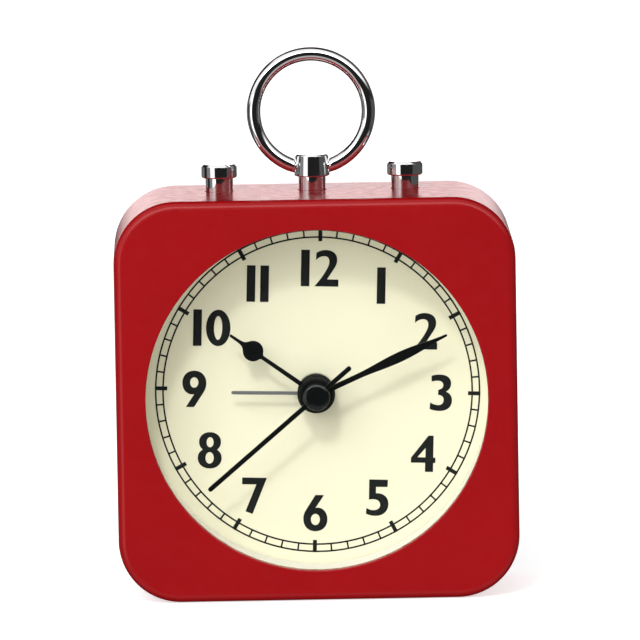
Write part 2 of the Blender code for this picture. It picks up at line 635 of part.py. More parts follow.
def contact_spring():
    """End plate and the conical spring on it, one bent piece of wire and strip."""
    v, f, rows = [], [], []
    per, turns, sides, wire = 10, 3, 5, 0.3
    for k in range(per * turns + 1):
        u = k / per
        x = -26.35 + 1.35 * u / turns
        r0 = 4.2 - 2.2 * u / turns
        row = []
        for j in range(sides):
            b = 2 * math.pi * j / sides
            r = r0 + wire * math.cos(b) * 0.8
            row.append(len(v))
            v.append((x + wire * 0.55 * math.sin(b), BY + r * math.cos(2 * math.pi * u), BZ + r * math.sin(2 * math.pi * u)))
        rows.append(row)
    for a, b in zip(rows[:-1], rows[1:]):
        for j in range(sides):
            f.append((a[j], a[(j + 1) % sides], b[(j + 1) % sides], b[j]))
    f.append(tuple(rows[0]))
    f.append(tuple(rows[-1]))
    return make("contact_spring_helper", v, f, None)


minus = plate("battery_contact_minus", box2(BY - 5.0, BY + 5.0, BZ - 5.0, BZ + 5.0), -27.0, -26.3, STEEL, axis="X")
boolean(minus, contact_spring(), "UNION")
for k, (x, z) in enumerate(BOSS):
    stack("back_screw_%d" % (k + 1), [
        (5.0, SEAT + 0.2, circle(1.05, 10)),
        (SEAT + 0.2, SEAT + 1.0, circle(2.1, 16)),
        (SEAT + 1.0, SEAT + 1.4, circle(2.1, 16), circle(1.6, 16)),
    ], STEEL, at=(x, z))
    slot_cut = several("cross_helper_%d" % (k + 1), [
        ("Y", [(x + a, z + b) for a, b in ((-1.35, -0.2), (-0.32, -0.32), (-0.2, -1.35), (0.2, -1.35), (0.32, -0.32),
                                           (1.35, -0.2), (1.35, 0.2), (0.32, 0.32), (0.2, 1.35), (-0.2, 1.35),
                                           (-0.32, 0.32), (-1.35, 0.2))], SEAT + 0.6, SEAT + 3.0)])
    boolean(bpy.data.objects["back_screw_%d" % (k + 1)], slot_cut, "DIFFERENCE")
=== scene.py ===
"""Looks of the square alarm clock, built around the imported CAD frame. Numbers are millimetres
in the row frame (+X right, -Y towards the viewer, +Z up) until build() scales them to metres."""
import math

import bpy
import bmesh
from mathutils import Matrix, Vector
from mathutils.geometry import tessellate_polygon


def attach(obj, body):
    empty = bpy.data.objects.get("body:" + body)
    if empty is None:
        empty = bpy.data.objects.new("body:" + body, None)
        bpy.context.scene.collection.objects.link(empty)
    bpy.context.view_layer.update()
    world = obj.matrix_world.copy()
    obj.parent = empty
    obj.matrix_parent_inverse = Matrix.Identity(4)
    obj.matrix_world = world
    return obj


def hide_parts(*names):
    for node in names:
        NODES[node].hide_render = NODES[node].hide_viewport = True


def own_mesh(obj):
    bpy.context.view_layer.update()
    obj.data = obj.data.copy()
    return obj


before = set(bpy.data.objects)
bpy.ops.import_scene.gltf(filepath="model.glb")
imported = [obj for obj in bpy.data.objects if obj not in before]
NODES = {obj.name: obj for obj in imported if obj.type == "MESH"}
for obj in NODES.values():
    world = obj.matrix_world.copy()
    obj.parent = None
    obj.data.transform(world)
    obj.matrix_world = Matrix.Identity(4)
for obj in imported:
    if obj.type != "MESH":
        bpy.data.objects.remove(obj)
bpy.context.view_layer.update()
scene = bpy.context.scene

# ---- dimensions shared with the CAD ------------------------------------------------
CASE_W, CASE_H = 90.0, 90.3
FRONT_Y, REAR_Y = -22.5, 17.5
CORNER_R, EDGE_R = 14.0, 2.0
WALL, FRONT_T = 2.2, 2.4
OPEN_R = 38.35
CX, CZ = 0.0, 45.15
CEN = (CX, CZ)
DIAL_Y = -3.6
TOP_Y, BTN_X = 1.5, 20.95
PIVOT_Z, LOOP_R, LOOP_TUBE = 95.7, 12.95, 1.54
ALARM_Y, HOUR_Y, MIN_Y, SEC_Y = -8.0, -10.6, -12.6, -15.1
HAND_HOUR, HAND_MIN, HAND_SEC, HAND_ALARM = 305.7, 66.0, 229.7, 271.4
COVER0, SEAT = 15.2, 17.1
BOSS = [(sx * 37.8, z) for sx in (-1, 1) for z in (7.4, CASE_H - 7.4)]
MOTION = (CX + 8.0 * math.cos(math.radians(60)), CZ + 8.0 * math.sin(math.radians(60)))
SETP = (MOTION[0] + 9.0 * math.cos(math.radians(30)), MOTION[1] + 9.0 * math.sin(math.radians(30)))
ALSET = (CX + 12.0 * math.cos(math.radians(240)), CZ + 12.0 * math.sin(math.radians(240)))
DIAL_TURN = 1.95      # the printed dial sits a little clockwise in the case, degrees
PRINT_X = CX + 0.40   # and its print is a little off centre


# ====================================================================================
# materials
# ====================================================================================
class Mat:
    """A Principled material with procedural colour, roughness and bump."""

    def __init__(self, name):
        self.m = bpy.data.materials.new(name)
        self.m.use_nodes = True
        self.nt = self.m.node_tree
        self.b = self.nt.nodes["Principled BSDF"]
        self.out = self.nt.nodes["Material Output"]
        self.tc = self.nt.nodes.new("ShaderNodeTexCoord")

    def node(self, kind, **inputs):
        n = self.nt.nodes.new(kind)
        for k, v in inputs.items():
            n.inputs[k].default_value = v
        return n

    def link(self, a, b):
        self.nt.links.new(a, b)

    def coords(self, scale=(1, 1, 1), rot=(0, 0, 0)):
        if scale == (1, 1, 1) and rot == (0, 0, 0):
            return self.tc.outputs["Object"]
        mp = self.nt.nodes.new("ShaderNodeMapping")
        mp.inputs["Scale"].default_value = scale
        mp.inputs["Rotation"].default_value = rot
        self.link(self.tc.outputs["Object"], mp.inputs["Vector"])
        return mp.outputs["Vector"]

    def noise(self, scale, detail=2.0, rough=0.5, stretch=(1, 1, 1)):
        n = self.node("ShaderNodeTexNoise", Scale=scale, Detail=detail, Roughness=rough)
        self.link(self.coords(stretch), n.inputs["Vector"])
        return n.outputs["Fac"]

    def voronoi(self, scale, feature="F1", stretch=(1, 1, 1)):
        n = self.node("ShaderNodeTexVoronoi", Scale=scale)
        n.feature = feature
        self.link(self.coords(stretch), n.inputs["Vector"])
        return n.outputs["Distance"]

    def remap(self, value, lo, hi, a=0.3, b=0.7):
        n = self.nt.nodes.new("ShaderNodeMapRange")
        n.inputs["From Min"].default_value = a
        n.inputs["From Max"].default_value = b
        n.inputs["To Min"].default_value = lo
        n.inputs["To Max"].default_value = hi
        self.link(value, n.inputs["Value"])
        return n.outputs["Result"]

    def math(self, op, a, b=None, clamp=False):
        n = self.nt.nodes.new("ShaderNodeMath")
        n.operation = op
        n.use_clamp = clamp
        for i, v in enumerate((a, b)):
            if v is None:
                continue
            if isinstance(v, (int, float)):
                n.inputs[i].default_value = v
            else:
                self.link(v, n.inputs[i])
        return n.outputs[0]

    def mix(self, fac, a, b):
        n = self.nt.nodes.new("ShaderNodeMix")
        n.data_type = "RGBA"
        if isinstance(fac, (int, float)):
            n.inputs[0].default_value = fac
        else:
            self.link(fac, n.inputs[0])
        for i, v in ((6, a), (7, b)):
            if isinstance(v, tuple):
                n.inputs[i].default_value = (*v, 1.0)
            else:
                self.link(v, n.inputs[i])
        return n.outputs[2]

    def colour(self, socket):
        self.link(socket, self.b.inputs["Base Color"])

    def rough(self, socket):
        self.link(socket, self.b.inputs["Roughness"])

    def bump(self, layers):
        """layers: (height socket, strength, distance in metres), the coarse ones first."""
        last = None
        for h, s, d in layers:
            n = self.node("ShaderNodeBump", Strength=s, Distance=d)
            self.link(h, n.inputs["Height"])
            if last is not None:
                self.link(last, n.inputs["Normal"])
            last = n.outputs["Normal"]
        self.link(last, self.b.inputs["Normal"])

    def set(self, **values):
        for k, v in values.items():
            self.b.inputs[k.replace("_", " ")].default_value = v
        return self


def shade(c, k):
    return tuple(min(1.0, x * k) for x in c)


def surface(name, base, rough, metal=0.0, tint=0.06, blotch=70.0, dr=0.04, bumps=((1400.0, 0.25, 2e-5),), ior=1.5,
            stretch=(1, 1, 1), **more):
    m = Mat(name)
    m.colour(m.mix(m.remap(m.noise(blotch, 4.0, 0.6), 0.0, 1.0), shade(base, 1 - tint), shade(base, 1 + tint)))
    m.rough(m.remap(m.noise(blotch * 2.3, 3.0, 0.6, stretch), rough - dr, rough + dr))
    m.bump([(m.noise(s, 3.0, 0.55, stretch), k, d) for s, k, d in bumps])
    m.set(Metallic=metal, IOR=ior, **more)
    return m.m


def red_lacquer():
    m = Mat("case_red_lacquer")
    base = (0.252, 0.0012, 0.0028)
    big = m.remap(m.noise(35.0, 3.0, 0.5), 0.0, 1.0)
    m.colour(m.mix(big, shade(base, 0.96), shade(base, 1.04)))
    # sprayed lacquer: soft orange peel, fine dust nibs and a few dull rubbed places
    rub = m.remap(m.noise(90.0, 6.0, 0.7), 0.0, 0.05, 0.62, 0.80)
    m.rough(m.math("ADD", m.remap(m.noise(420.0, 2.0), 0.225, 0.265), rub))
    m.bump([(m.noise(520.0, 2.0, 0.4), 0.08, 4e-6), (m.noise(5200.0, 2.0, 0.5), 0.08, 1.2e-6)])
    m.set(IOR=1.5, Specular_IOR_Level=0.30)
    return m.m


def chrome(name="chrome_plating"):
    m = Mat(name)
    m.colour(m.mix(m.remap(m.noise(160.0, 3.0), 0.0, 1.0), (0.86, 0.865, 0.87), (0.92, 0.925, 0.93)))
    m.rough(m.remap(m.noise(380.0, 5.0, 0.65), 0.035, 0.075, 0.35, 0.75))
    m.bump([(m.noise(300.0, 2.0, 0.4), 0.10, 6e-6), (m.noise(2400.0, 3.0, 0.6, (1, 1, 0.12)), 0.06, 2e-6)])
    m.set(Metallic=1.0)
    return m.m


def dial_paper():
    m = Mat("dial_cream_print")
    base = (0.800, 0.770, 0.580)
    m.colour(m.mix(m.remap(m.noise(45.0, 4.0, 0.6), 0.0, 1.0), shade(base, 0.985), shade(base, 1.01)))
    m.rough(m.remap(m.noise(900.0, 3.0), 0.50, 0.62))
    m.bump([(m.noise(2600.0, 4.0, 0.65), 0.16, 8e-6), (m.noise(420.0, 2.0), 0.06, 1e-5)])
    m.set(IOR=1.45)
    return m.m


def clear_lens():
    m = Mat("clear_lens_pane")
    film = m.node("ShaderNodeBsdfTransparent")
    film.inputs["Color"].default_value = (0.985, 0.99, 0.985, 1.0)
    # the same weak reflection on both faces of the pane, rising towards grazing angles
    facing = m.node("ShaderNodeLayerWeight", Blend=0.5).outputs["Facing"]
    fres = m.math("ADD", m.math("MULTIPLY", m.math("POWER", facing, 5.0), 0.80), 0.034)
    dust = m.remap(m.noise(60.0, 5.0, 0.7), 0.65, 1.0, 0.3, 0.8)
    fac = m.math("MULTIPLY", fres, dust)
    mixer = m.nt.nodes.new("ShaderNodeMixShader")
    m.link(fac, mixer.inputs["Fac"])
    m.link(film.outputs["BSDF"], mixer.inputs[1])
    m.link(m.b.outputs["BSDF"], mixer.inputs[2])
    m.link(mixer.outputs["Shader"], m.out.inputs["Surface"])
    m.rough(m.remap(m.noise(140.0, 5.0, 0.7), 0.02, 0.06))
    m.bump([(m.noise(90.0, 2.0), 0.05, 1e-5)])
    m.set(Metallic=1.0)
    m.b.inputs["Base Color"].default_value = (0.95, 0.95, 0.95, 1.0)
    return m.m


def moulded_black():
    m = Mat("black_grained_plastic")
    m.colour(m.mix(m.remap(m.noise(50.0, 4.0), 0.0, 1.0), (0.016, 0.016, 0.017), (0.026, 0.026, 0.027)))
    m.rough(m.remap(m.noise(600.0, 4.0, 0.6), 0.42, 0.58))
    m.bump([(m.voronoi(2300.0, "SMOOTH_F1"), 0.45, 4.5e-5), (m.noise(6000.0, 2.0), 0.15, 8e-6)])
    m.set(IOR=1.5)
    return m.m


def board():
    m = Mat("board_solder_resist")
    cells = m.remap(m.voronoi(330.0, "F1", (1, 1, 1)), 0.0, 1.0, 0.10, 0.16)
    lanes = m.math("FRACT", m.math("MULTIPLY", m.noise(55.0, 0.0), 9.0))
    lane = m.remap(lanes, 0.0, 1.0, 0.45, 0.52)
    m.colour(m.mix(cells, m.mix(lane, (0.028, 0.15, 0.062), (0.045, 0.235, 0.10)), (0.02, 0.11, 0.05)))
    m.rough(m.remap(m.noise(300.0, 3.0), 0.28, 0.40))
    m.bump([(lane, 0.3, 3e-5)])
    return m.m


def battery():
    """Plain two-colour sleeve with a bare metal end, no lettering."""
    m = Mat("battery_plain_sleeve")
    sep = m.nt.nodes.new("ShaderNodeSeparateXYZ")
    m.link(m.tc.outputs["Object"], sep.inputs[0])
    band = m.remap(sep.outputs["X"], 0.0, 1.0, 0.0126, 0.0128)
    end = m.remap(sep.outputs["X"], 0.0, 1.0, 0.02365, 0.0237)
    grain = m.remap(m.noise(200.0, 3.0), 0.0, 1.0)
    dark = m.mix(grain, (0.018, 0.030, 0.075), (0.026, 0.042, 0.10))
    two = m.mix(band, dark, (0.52, 0.27, 0.10))
    m.colour(m.mix(end, two, (0.62, 0.62, 0.60)))
    m.link(m.remap(end, 0.25, 1.0, 0.0, 1.0), m.b.inputs["Metallic"])
    m.rough(m.remap(m.noise(700.0, 3.0), 0.24, 0.36))
    m.bump([(m.noise(900.0, 2.0), 0.1, 1e-5)])
    return m.m


def winding():
    m = Mat("copper_winding")
    wave = m.node("ShaderNodeTexWave", Scale=1150.0, Distortion=0.6, Detail=1.0)
    wave.bands_direction = "X"
    m.link(m.tc.outputs["Object"], wave.inputs["Vector"])
    # painted shade: the colour follows the same bands as the bump, darker copper in the grooves between turns and
    # brighter on the crests
    m.colour(m.mix(wave.outputs["Fac"], (0.30, 0.085, 0.025), (0.66, 0.27, 0.10)))
    m.rough(m.remap(m.noise(900.0, 2.0), 0.25, 0.40))
    m.bump([(wave.outputs["Fac"], 0.8, 6e-5)])
    m.set(Metallic=0.85)
    return m.m


MATS = {
    "case_red": red_lacquer(),
    "chrome": chrome(),
    "dial_cream": dial_paper(),
    "clear_lens": clear_lens(),
    "black_plastic": moulded_black(),
    "board_green": board(),
    "battery_sleeve": battery(),
    "copper_winding": winding(),
    "white_plastic": surface("white_wall_ring", (0.86, 0.845, 0.79), 0.38, tint=0.015, dr=0.05,
                             bumps=((1800.0, 0.15, 1e-5),)),
    "natural_plastic": surface("natural_nylon", (0.76, 0.74, 0.66), 0.42, tint=0.04, dr=0.06,
                               bumps=((1200.0, 0.3, 2e-5),)),
    "wheel_plastic": surface("acetal_white", (0.80, 0.80, 0.765), 0.33, tint=0.03, dr=0.05,
                             bumps=((2200.0, 0.2, 1e-5),)),
    "magnet": surface("sintered_magnet", (0.10, 0.10, 0.11), 0.55, metal=0.6, tint=0.2, dr=0.1,
                      bumps=((3800.0, 0.6, 4e-5),)),
    "steel": surface("zinc_plated_steel", (0.60, 0.605, 0.615), 0.27, metal=1.0, tint=0.10, dr=0.08,
                     bumps=((2600.0, 0.25, 1.2e-5),), stretch=(1, 1, 0.15)),
    "hand_satin": surface("hand_satin_black", (0.0034, 0.0042, 0.0042), 0.40, tint=0.15, dr=0.05,
                          bumps=((3600.0, 0.15, 4e-6),), Specular_IOR_Level=0.12),
    "hand_black": surface("hand_gloss_black", (0.0045, 0.0060, 0.0058), 0.11, tint=0.15, dr=0.03,
                          bumps=((900.0, 0.10, 4e-6), (4200.0, 0.06, 1.5e-6)), Specular_IOR_Level=0.5),
    "hand_grey": surface("hand_silver_grey", (0.26, 0.265, 0.27), 0.34, metal=0.55, tint=0.06, dr=0.06,
                         bumps=((3000.0, 0.2, 8e-6),)),
    "print_black": surface("dial_print_black", (0.0095, 0.0115, 0.0110), 0.55, tint=0.12, dr=0.05,
                           bumps=((3200.0, 0.2, 6e-6),), Specular_IOR_Level=0.15),
}


# ====================================================================================
# mesh helpers
# ====================================================================================
def circle(r, n=96, cx=0.0, cy=0.0, phase=0.0):
    return [(cx + r * math.cos(phase + 2 * math.pi * k / n),
             cy + r * math.sin(phase + 2 * math.pi * k / n)) for k in range(n)]


def rrect(w, h, r, n=8, cx=0.0, cy=0.0):
    pts = []
    for sx, sy, a in ((1, 1, 0), (-1, 1, 90), (-1, -1, 180), (1, -1, 270)):
        for k in range(n + 1):
            t = math.radians(a + 90 * k / n)
            pts.append((cx + sx * (w / 2 - r) + r * math.cos(t),
                        cy + sy * (h / 2 - r) + r * math.sin(t)))
    return pts


def lift(axis, p, t):
    if axis == "Y":
        return (p[0], t, p[1])
    if axis == "X":
        return (t, p[0], p[1])
    return (p[0], p[1], t)


class Shell:
    """Rings of points joined by side walls and by flat faces that may hold holes."""

    def __init__(self, axis="Y"):
        self.axis, self.v, self.f = axis, [], []

    def ring(self, loop, t):
        start = len(self.v)
        self.v += [lift(self.axis, p, t) for p in loop]
        return list(range(start, start + len(loop)))

    def side(self, a, b):
        n = len(a)
        for k in range(n):
            self.f.append((a[k], a[(k + 1) % n], b[(k + 1) % n], b[k]))

    def run(self, rings):
        for a, b in zip(rings[:-1], rings[1:]):
            self.side(a, b)

    def flat(self, *rings):
        index = [i for r in rings for i in r]
        if len(rings) == 1:
            self.f.append(tuple(index))
            return
        loops = [[Vector(self.v[i]) for i in r] for r in rings]
        for tri in tessellate_polygon(loops):
            self.f.append(tuple(index[i] for i in tri))

    def tube(self, loop, t0, t1):
        a, b = self.ring(loop, t0), self.ring(loop, t1)
        self.side(a, b)
        return a, b


def shifted(loop, cx, cy):
    return [(x + cx, y + cy) for x, y in loop]


def raw(name, verts, faces):
    bm = bmesh.new()
    vs = [bm.verts.new(Vector(v) * 0.001) for v in verts]
    for f in faces:
        bm.faces.new([vs[i] for i in f])
    bmesh.ops.recalc_face_normals(bm, faces=bm.faces)
    mesh = bpy.data.meshes.new(name)
    bm.to_mesh(mesh)
    bm.free()
    obj = bpy.data.objects.new(name, mesh)
    scene.collection.objects.link(obj)
    return obj


def cut(obj, other, operation="DIFFERENCE"):
    """Applies one exact Boolean and removes the other object."""
    mod = obj.modifiers.new("cut", "BOOLEAN")
    mod.operation, mod.solver, mod.object = operation, "EXACT", other
    bpy.context.view_layer.update()
    done = bpy.data.meshes.new_from_object(obj.evaluated_get(bpy.context.evaluated_depsgraph_get()))
    obj.modifiers.remove(mod)
    obj.data = done
    bpy.data.objects.remove(other)
    return obj


def finish_piece(obj, mat, body, slot=None, replaces=(), smooth=32, weighted=True):
    obj.data.materials.clear()
    obj.data.materials.append(MATS[mat])
    for p in obj.data.polygons:
        p.use_smooth = True
        p.material_index = 0
    obj.data.set_sharp_from_angle(angle=math.radians(smooth))
    if weighted:
        wn = obj.modifiers.new("weighted_normals", "WEIGHTED_NORMAL")
        wn.keep_sharp = True
        wn.weight = 50
    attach(obj, body)
    if replaces:
        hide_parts(*replaces)
    slot = slot or {"print_black": "hand_black", "hand_satin": "hand_black"}.get(mat, mat)
    return obj


def piece(name, verts, faces, mat, body, **kw):
    return finish_piece(raw(name, verts, faces), mat, body, **kw)


def fillet(pts, radii, n=5):
    """Open profile with its inner corners rounded; radii has one value per inner corner."""
    out = [pts[0]]
    for p, q, s, r in zip(pts[:-2], pts[1:-1], pts[2:], radii):
        a, b, c = Vector(p), Vector(q), Vector(s)
        u, w = (a - b), (c - b)
        if r <= 0 or u.length < 1e-9 or w.length < 1e-9:
            out.append(q)
            continue
        lu, lw = u.length, w.length
        u.normalize()
        w.normalize()
        half = math.acos(max(-1, min(1, u.dot(w)))) / 2
        if half > math.radians(89):
            out.append(q)
            continue
        d = min(r / math.tan(half), 0.48 * lu, 0.48 * lw)
        rr = d * math.tan(half)
        mid = b + (u + w).normalized() * (rr / math.sin(half))
        p0, p1 = b + u * d, b + w * d
        a0, a1 = p0 - mid, p1 - mid
        sweep = a0.angle_signed(a1)
        for k in range(n + 1):
            t = -sweep * k / n
            out.append(tuple(mid + Matrix.Rotation(t, 2) @ a0))
    out.append(pts[-1])
    return out


def lathe(name, prof, axis="Z", at=(0.0, 0.0), n=96, closed=False):
    """Turned piece. prof holds (radius, height); radius 0 makes a point on the axis."""
    v, f, rows = [], [], []
    for r, t in prof:
        if r < 1e-6:
            rows.append([len(v)])
            v.append(lift(axis, at, t))
        else:
            rows.append(list(range(len(v), len(v) + n)))
            v += [lift(axis, (at[0] + x, at[1] + y), t) for x, y in circle(r, n)]
    if closed:
        rows.append(rows[0])
    for a, b in zip(rows[:-1], rows[1:]):
        if len(a) == 1 and len(b) == 1:
            continue
        for k in range(n):
            j = (k + 1) % n
            if len(a) == 1:
                f.append((a[0], b[j], b[k]))
            elif len(b) == 1:
                f.append((a[k], a[j], b[0]))
            else:
                f.append((a[k], a[j], b[j], b[k]))
    return raw(name, v, f)


def prisms(name, loops, y0, y1, edge=0.0):
    """Several closed outlines with holes, each [outer, hole, ...] in the X-Z plane."""
    v, f = [], []
    for group in loops:
        s = Shell("Y")
        rings = [s.tube(lp, y0, y1) for lp in group]
        s.flat(*[r[0] for r in rings])
        s.flat(*[r[1] for r in rings])
        f += [tuple(i + len(v) for i in face) for face in s.f]
        v += s.v
    return v, f


# ====================================================================================
# case
# ====================================================================================
def case_loop(inset, n=24):
    return rrect(CASE_W - 2 * inset, CASE_H - 2 * inset, CORNER_R - inset, n, CX, CASE_H / 2)


c = Shell("Y")
rings = []
for k in range(13):
    t = math.radians(90 * k / 12)
    rings.append(c.ring(case_loop(EDGE_R * (1 - math.sin(t))), FRONT_Y + EDGE_R * (1 - math.cos(t))))
for k in range(7):
    t = math.radians(90 * k / 6)
    rings.append(c.ring(case_loop(1.0 - math.cos(t)), REAR_Y - 1.0 + math.sin(t)))
c.run(rings)
lip = [c.ring(case_loop(WALL - 0.25 * (1 - math.sin(math.radians(90 * k / 4)))),
              REAR_Y - 0.25 * (1 - math.cos(math.radians(90 * k / 4)))) for k in range(5)]
inner_front = c.ring(case_loop(WALL), FRONT_Y + FRONT_T)
c.run(lip)
c.side(lip[-1], inner_front)
edge = 0.32
mouth = [c.ring(circle(OPEN_R + edge * (1 - math.sin(t)), 288, CX, CZ), FRONT_Y + edge * (1 - math.cos(t)))
         for t in [math.radians(90 * k / 5) for k in range(6)]]
mouth.append(c.ring(circle(OPEN_R, 288, CX, CZ), FRONT_Y + FRONT_T))
c.run(mouth)
c.flat(rings[0], mouth[0])
c.flat(inner_front, mouth[-1])
c.flat(rings[-1], lip[0])
case = raw("case_lacquered", c.v, c.f)
for x, z in BOSS:
    cut(case, lathe("boss", [(0, -10.0), (3.2, -10.0), (3.2, 14.6), (0, 14.6)], "Y", (x, z), 24), "UNION")
    cut(case, lathe("bore", [(0, 4.0), (1.35, 4.0), (1.35, 16.0), (0, 16.0)], "Y", (x, z), 20))
for x in (-BTN_X, 0.0, BTN_X):
    cut(case, lathe("hole", [(0, 86.0), (3.32, 86.0), (3.32, 90.7), (0, 90.7)], "Z",
                    (x, TOP_Y), 72))
finish_piece(case, "case_red", "case", replaces=("case_shell",))

# wall ring between lens and dial, a turned section with a small lead-in at the front
finish_piece(lathe("wall_ring_moulded", [(39.2, -17.9), (39.32, -18.12), (39.5, -18.2), (40.6, -18.2), (40.6, -3.9),
                                         (39.2, -3.9)], "Y", CEN, 256, closed=True),
             "white_plastic", "case", replaces=("spacer_ring",))


# ====================================================================================
# dial print: numerals and minute track, as thin raised ink
# ====================================================================================
def bez(path, n=10):
    """Outline from ('M', x, y), ('L', x, y) and ('C', x1, y1, x2, y2, x, y) steps."""
    pts = []
    for step in path:
        if step[0] in "ML":
            pts.append((step[1], step[2]))
        else:
            x0, y0 = pts[-1]
            x1, y1, x2, y2, x3, y3 = step[1:]
            for k in range(1, n + 1):
                t = k / n
                a, b2, c2, d = (1 - t) ** 3, 3 * t * (1 - t) ** 2, 3 * t * t * (1 - t), t ** 3
                pts.append((a * x0 + b2 * x1 + c2 * x2 + d * x3, a * y0 + b2 * y1 + c2 * y2 + d * y3))
    if math.dist(pts[0], pts[-1]) < 1e-6:
        pts.pop()
    return pts


def oval(cx, cy, rx, ry, n=40):
    return [(cx + rx * math.cos(2 * math.pi * (k + 0.37) / n), cy + ry * math.sin(2 * math.pi * (k + 0.37) / n))
            for k in range(n)]


# humanist sans numerals, 100 units high: (width, outlines)
GLYPH = {
    "1": (23.5, [[(0, 0), (23.5, 0), (23.5, 100), (0, 100)]]),
    "2": (65, [bez([("M", 4, 92), ("C", 12, 97, 20, 100, 29, 100), ("C", 49, 100, 61, 90, 61, 73),
                    ("C", 61, 63, 57, 56, 52, 48), ("L", 34, 19.5), ("L", 65, 19.5), ("L", 65, 0), ("L", 0, 0),
                    ("C", 12, 14, 26, 33, 34, 49), ("C", 38, 57, 39.5, 62, 39.5, 69),
                    ("C", 39.5, 78, 34, 83, 26, 83), ("C", 17, 83, 10, 79, 3, 72), ("L", 4, 92)])]),
    "3": (61, [bez([("M", 4, 96), ("C", 11, 99, 19, 100, 27, 100), ("C", 46, 100, 58, 91, 58, 76),
                    ("C", 58, 66, 53, 58, 44, 53.5), ("C", 56, 49, 61, 40, 61, 29), ("C", 61, 11, 48, 0, 27, 0),
                    ("C", 17, 0, 8, 2, 0.5, 5), ("L", 1.5, 23), ("C", 9, 18.5, 16, 16, 23, 16),
                    ("C", 33, 16, 38, 21.5, 38, 30), ("C", 38, 39, 33, 43, 22.5, 44.5), ("L", 23, 58),
                    ("C", 32, 60, 36.5, 64.5, 36.5, 71), ("C", 36.5, 79, 31, 83, 21, 83),
                    ("C", 15, 83, 9, 82, 4.5, 80), ("L", 4, 96)])]),
    "4": (67, [[(47, 100), (0, 38.5), (0, 25), (39, 25), (39, 0), (61, 0), (61, 25), (67, 25), (67, 39.5), (61, 39.5),
                (61, 100)], [(39.5, 66), (39.5, 40), (17.5, 40)]]),
    "5": (61, [bez([("M", 7.5, 100), ("L", 58.5, 100), ("L", 58, 80), ("L", 26.5, 80), ("L", 26.5, 62),
                    ("C", 30, 62.4, 32, 62.4, 34, 62.2), ("C", 50, 61, 61, 50, 61, 33), ("C", 61, 13, 47, 0, 26, 0),
                    ("C", 17, 0, 8, 2, 0, 5.5), ("L", 1, 21.5), ("C", 7, 18, 13, 15.5, 20, 15.5),
                    ("C", 31, 15.5, 38.5, 21, 38.5, 30), ("C", 38.5, 40, 31, 45.8, 19, 45.8),
                    ("C", 15, 45.8, 11, 45.3, 7.5, 44), ("L", 7.5, 100)])]),
    "6": (66, [bez([("M", 32, 100), ("L", 55.5, 100), ("L", 33, 64.6), ("C", 36, 65.3, 38, 65.5, 40, 65.3),
                    ("C", 55, 64.5, 66, 51, 66, 33), ("C", 66, 13, 52, 0, 33, 0), ("C", 13, 0, 0, 14, 0, 35),
                    ("C", 0, 46, 4, 54, 9, 62), ("L", 32, 100)]), oval(33.1, 32.6, 12.3, 15.5)]),
    "7": (67, [[(0, 100), (0, 81.3), (39, 81.3), (10.5, 7), (30, 0), (67, 98.5), (67, 100)]]),
    "8": (65.5, [bez([("M", 33, 100), ("C", 51, 100, 63, 89, 63, 73), ("C", 63, 64, 59, 57, 52.5, 52),
                      ("C", 61, 47, 65.5, 39, 65.5, 29), ("C", 65.5, 12, 52, 0, 33, 0), ("C", 14, 0, 0, 12, 0, 29),
                      ("C", 0, 39, 5, 47, 13.5, 52), ("C", 7, 57, 3, 64, 3, 73), ("C", 3, 89, 15, 100, 33, 100)]),
                 oval(33.3, 72.3, 9.5, 13.8), oval(32.6, 29.3, 11.3, 15.8)]),
    "9": (65.5, [bez([("M", 33, 100), ("C", 52, 100, 65.5, 86, 65.5, 66), ("C", 65.5, 55, 62, 47, 57, 39),
                      ("L", 33, 0), ("L", 10.5, 0), ("L", 33, 35.6), ("C", 30, 34.7, 28, 34.5, 26, 34.7),
                      ("C", 10, 36, 0, 49, 0, 67), ("C", 0, 87, 13, 100, 33, 100)]),
                 oval(32.4, 67.6, 11.3, 14.2)]),
    "0": (66.7, [oval(33.35, 50, 33.35, 50, 56), oval(33.0, 50, 11.3, 32.6, 44)]),
}
NUM_H, NUM_R = 8.27, 27.84
SPACE = {"10": 11.6, "11": 13.4, "12": 14.0}     # gap between the two figures, same units
turn = math.radians(DIAL_TURN)


def on_dial(x, z):
    """A point of the dial's own plane, turned clockwise with the dial."""
    return (PRINT_X + x * math.cos(turn) + z * math.sin(turn), CZ - x * math.sin(turn) + z * math.cos(turn))


groups = []
for hour in range(1, 13):
    text = str(hour)
    gap = SPACE.get(text, 0.0)
    width = sum(GLYPH[ch][0] for ch in text) + gap * (len(text) - 1)
    ang = math.radians(30 * hour)
    k = NUM_H / 100
    x0 = NUM_R * math.sin(ang) - width * k / 2
    z0 = NUM_R * math.cos(ang) - NUM_H / 2
    for ch in text:
        groups.append([[on_dial(x0 + px * k, z0 + pz * k) for px, pz in loop] for loop in GLYPH[ch][1]])
        x0 += (GLYPH[ch][0] + gap) * k
v, f = prisms("numerals", groups, DIAL_Y - 0.04, DIAL_Y + 0.02)
piece("dial_numerals", v, f, "print_black", "case", slot="hand_black", weighted=False)

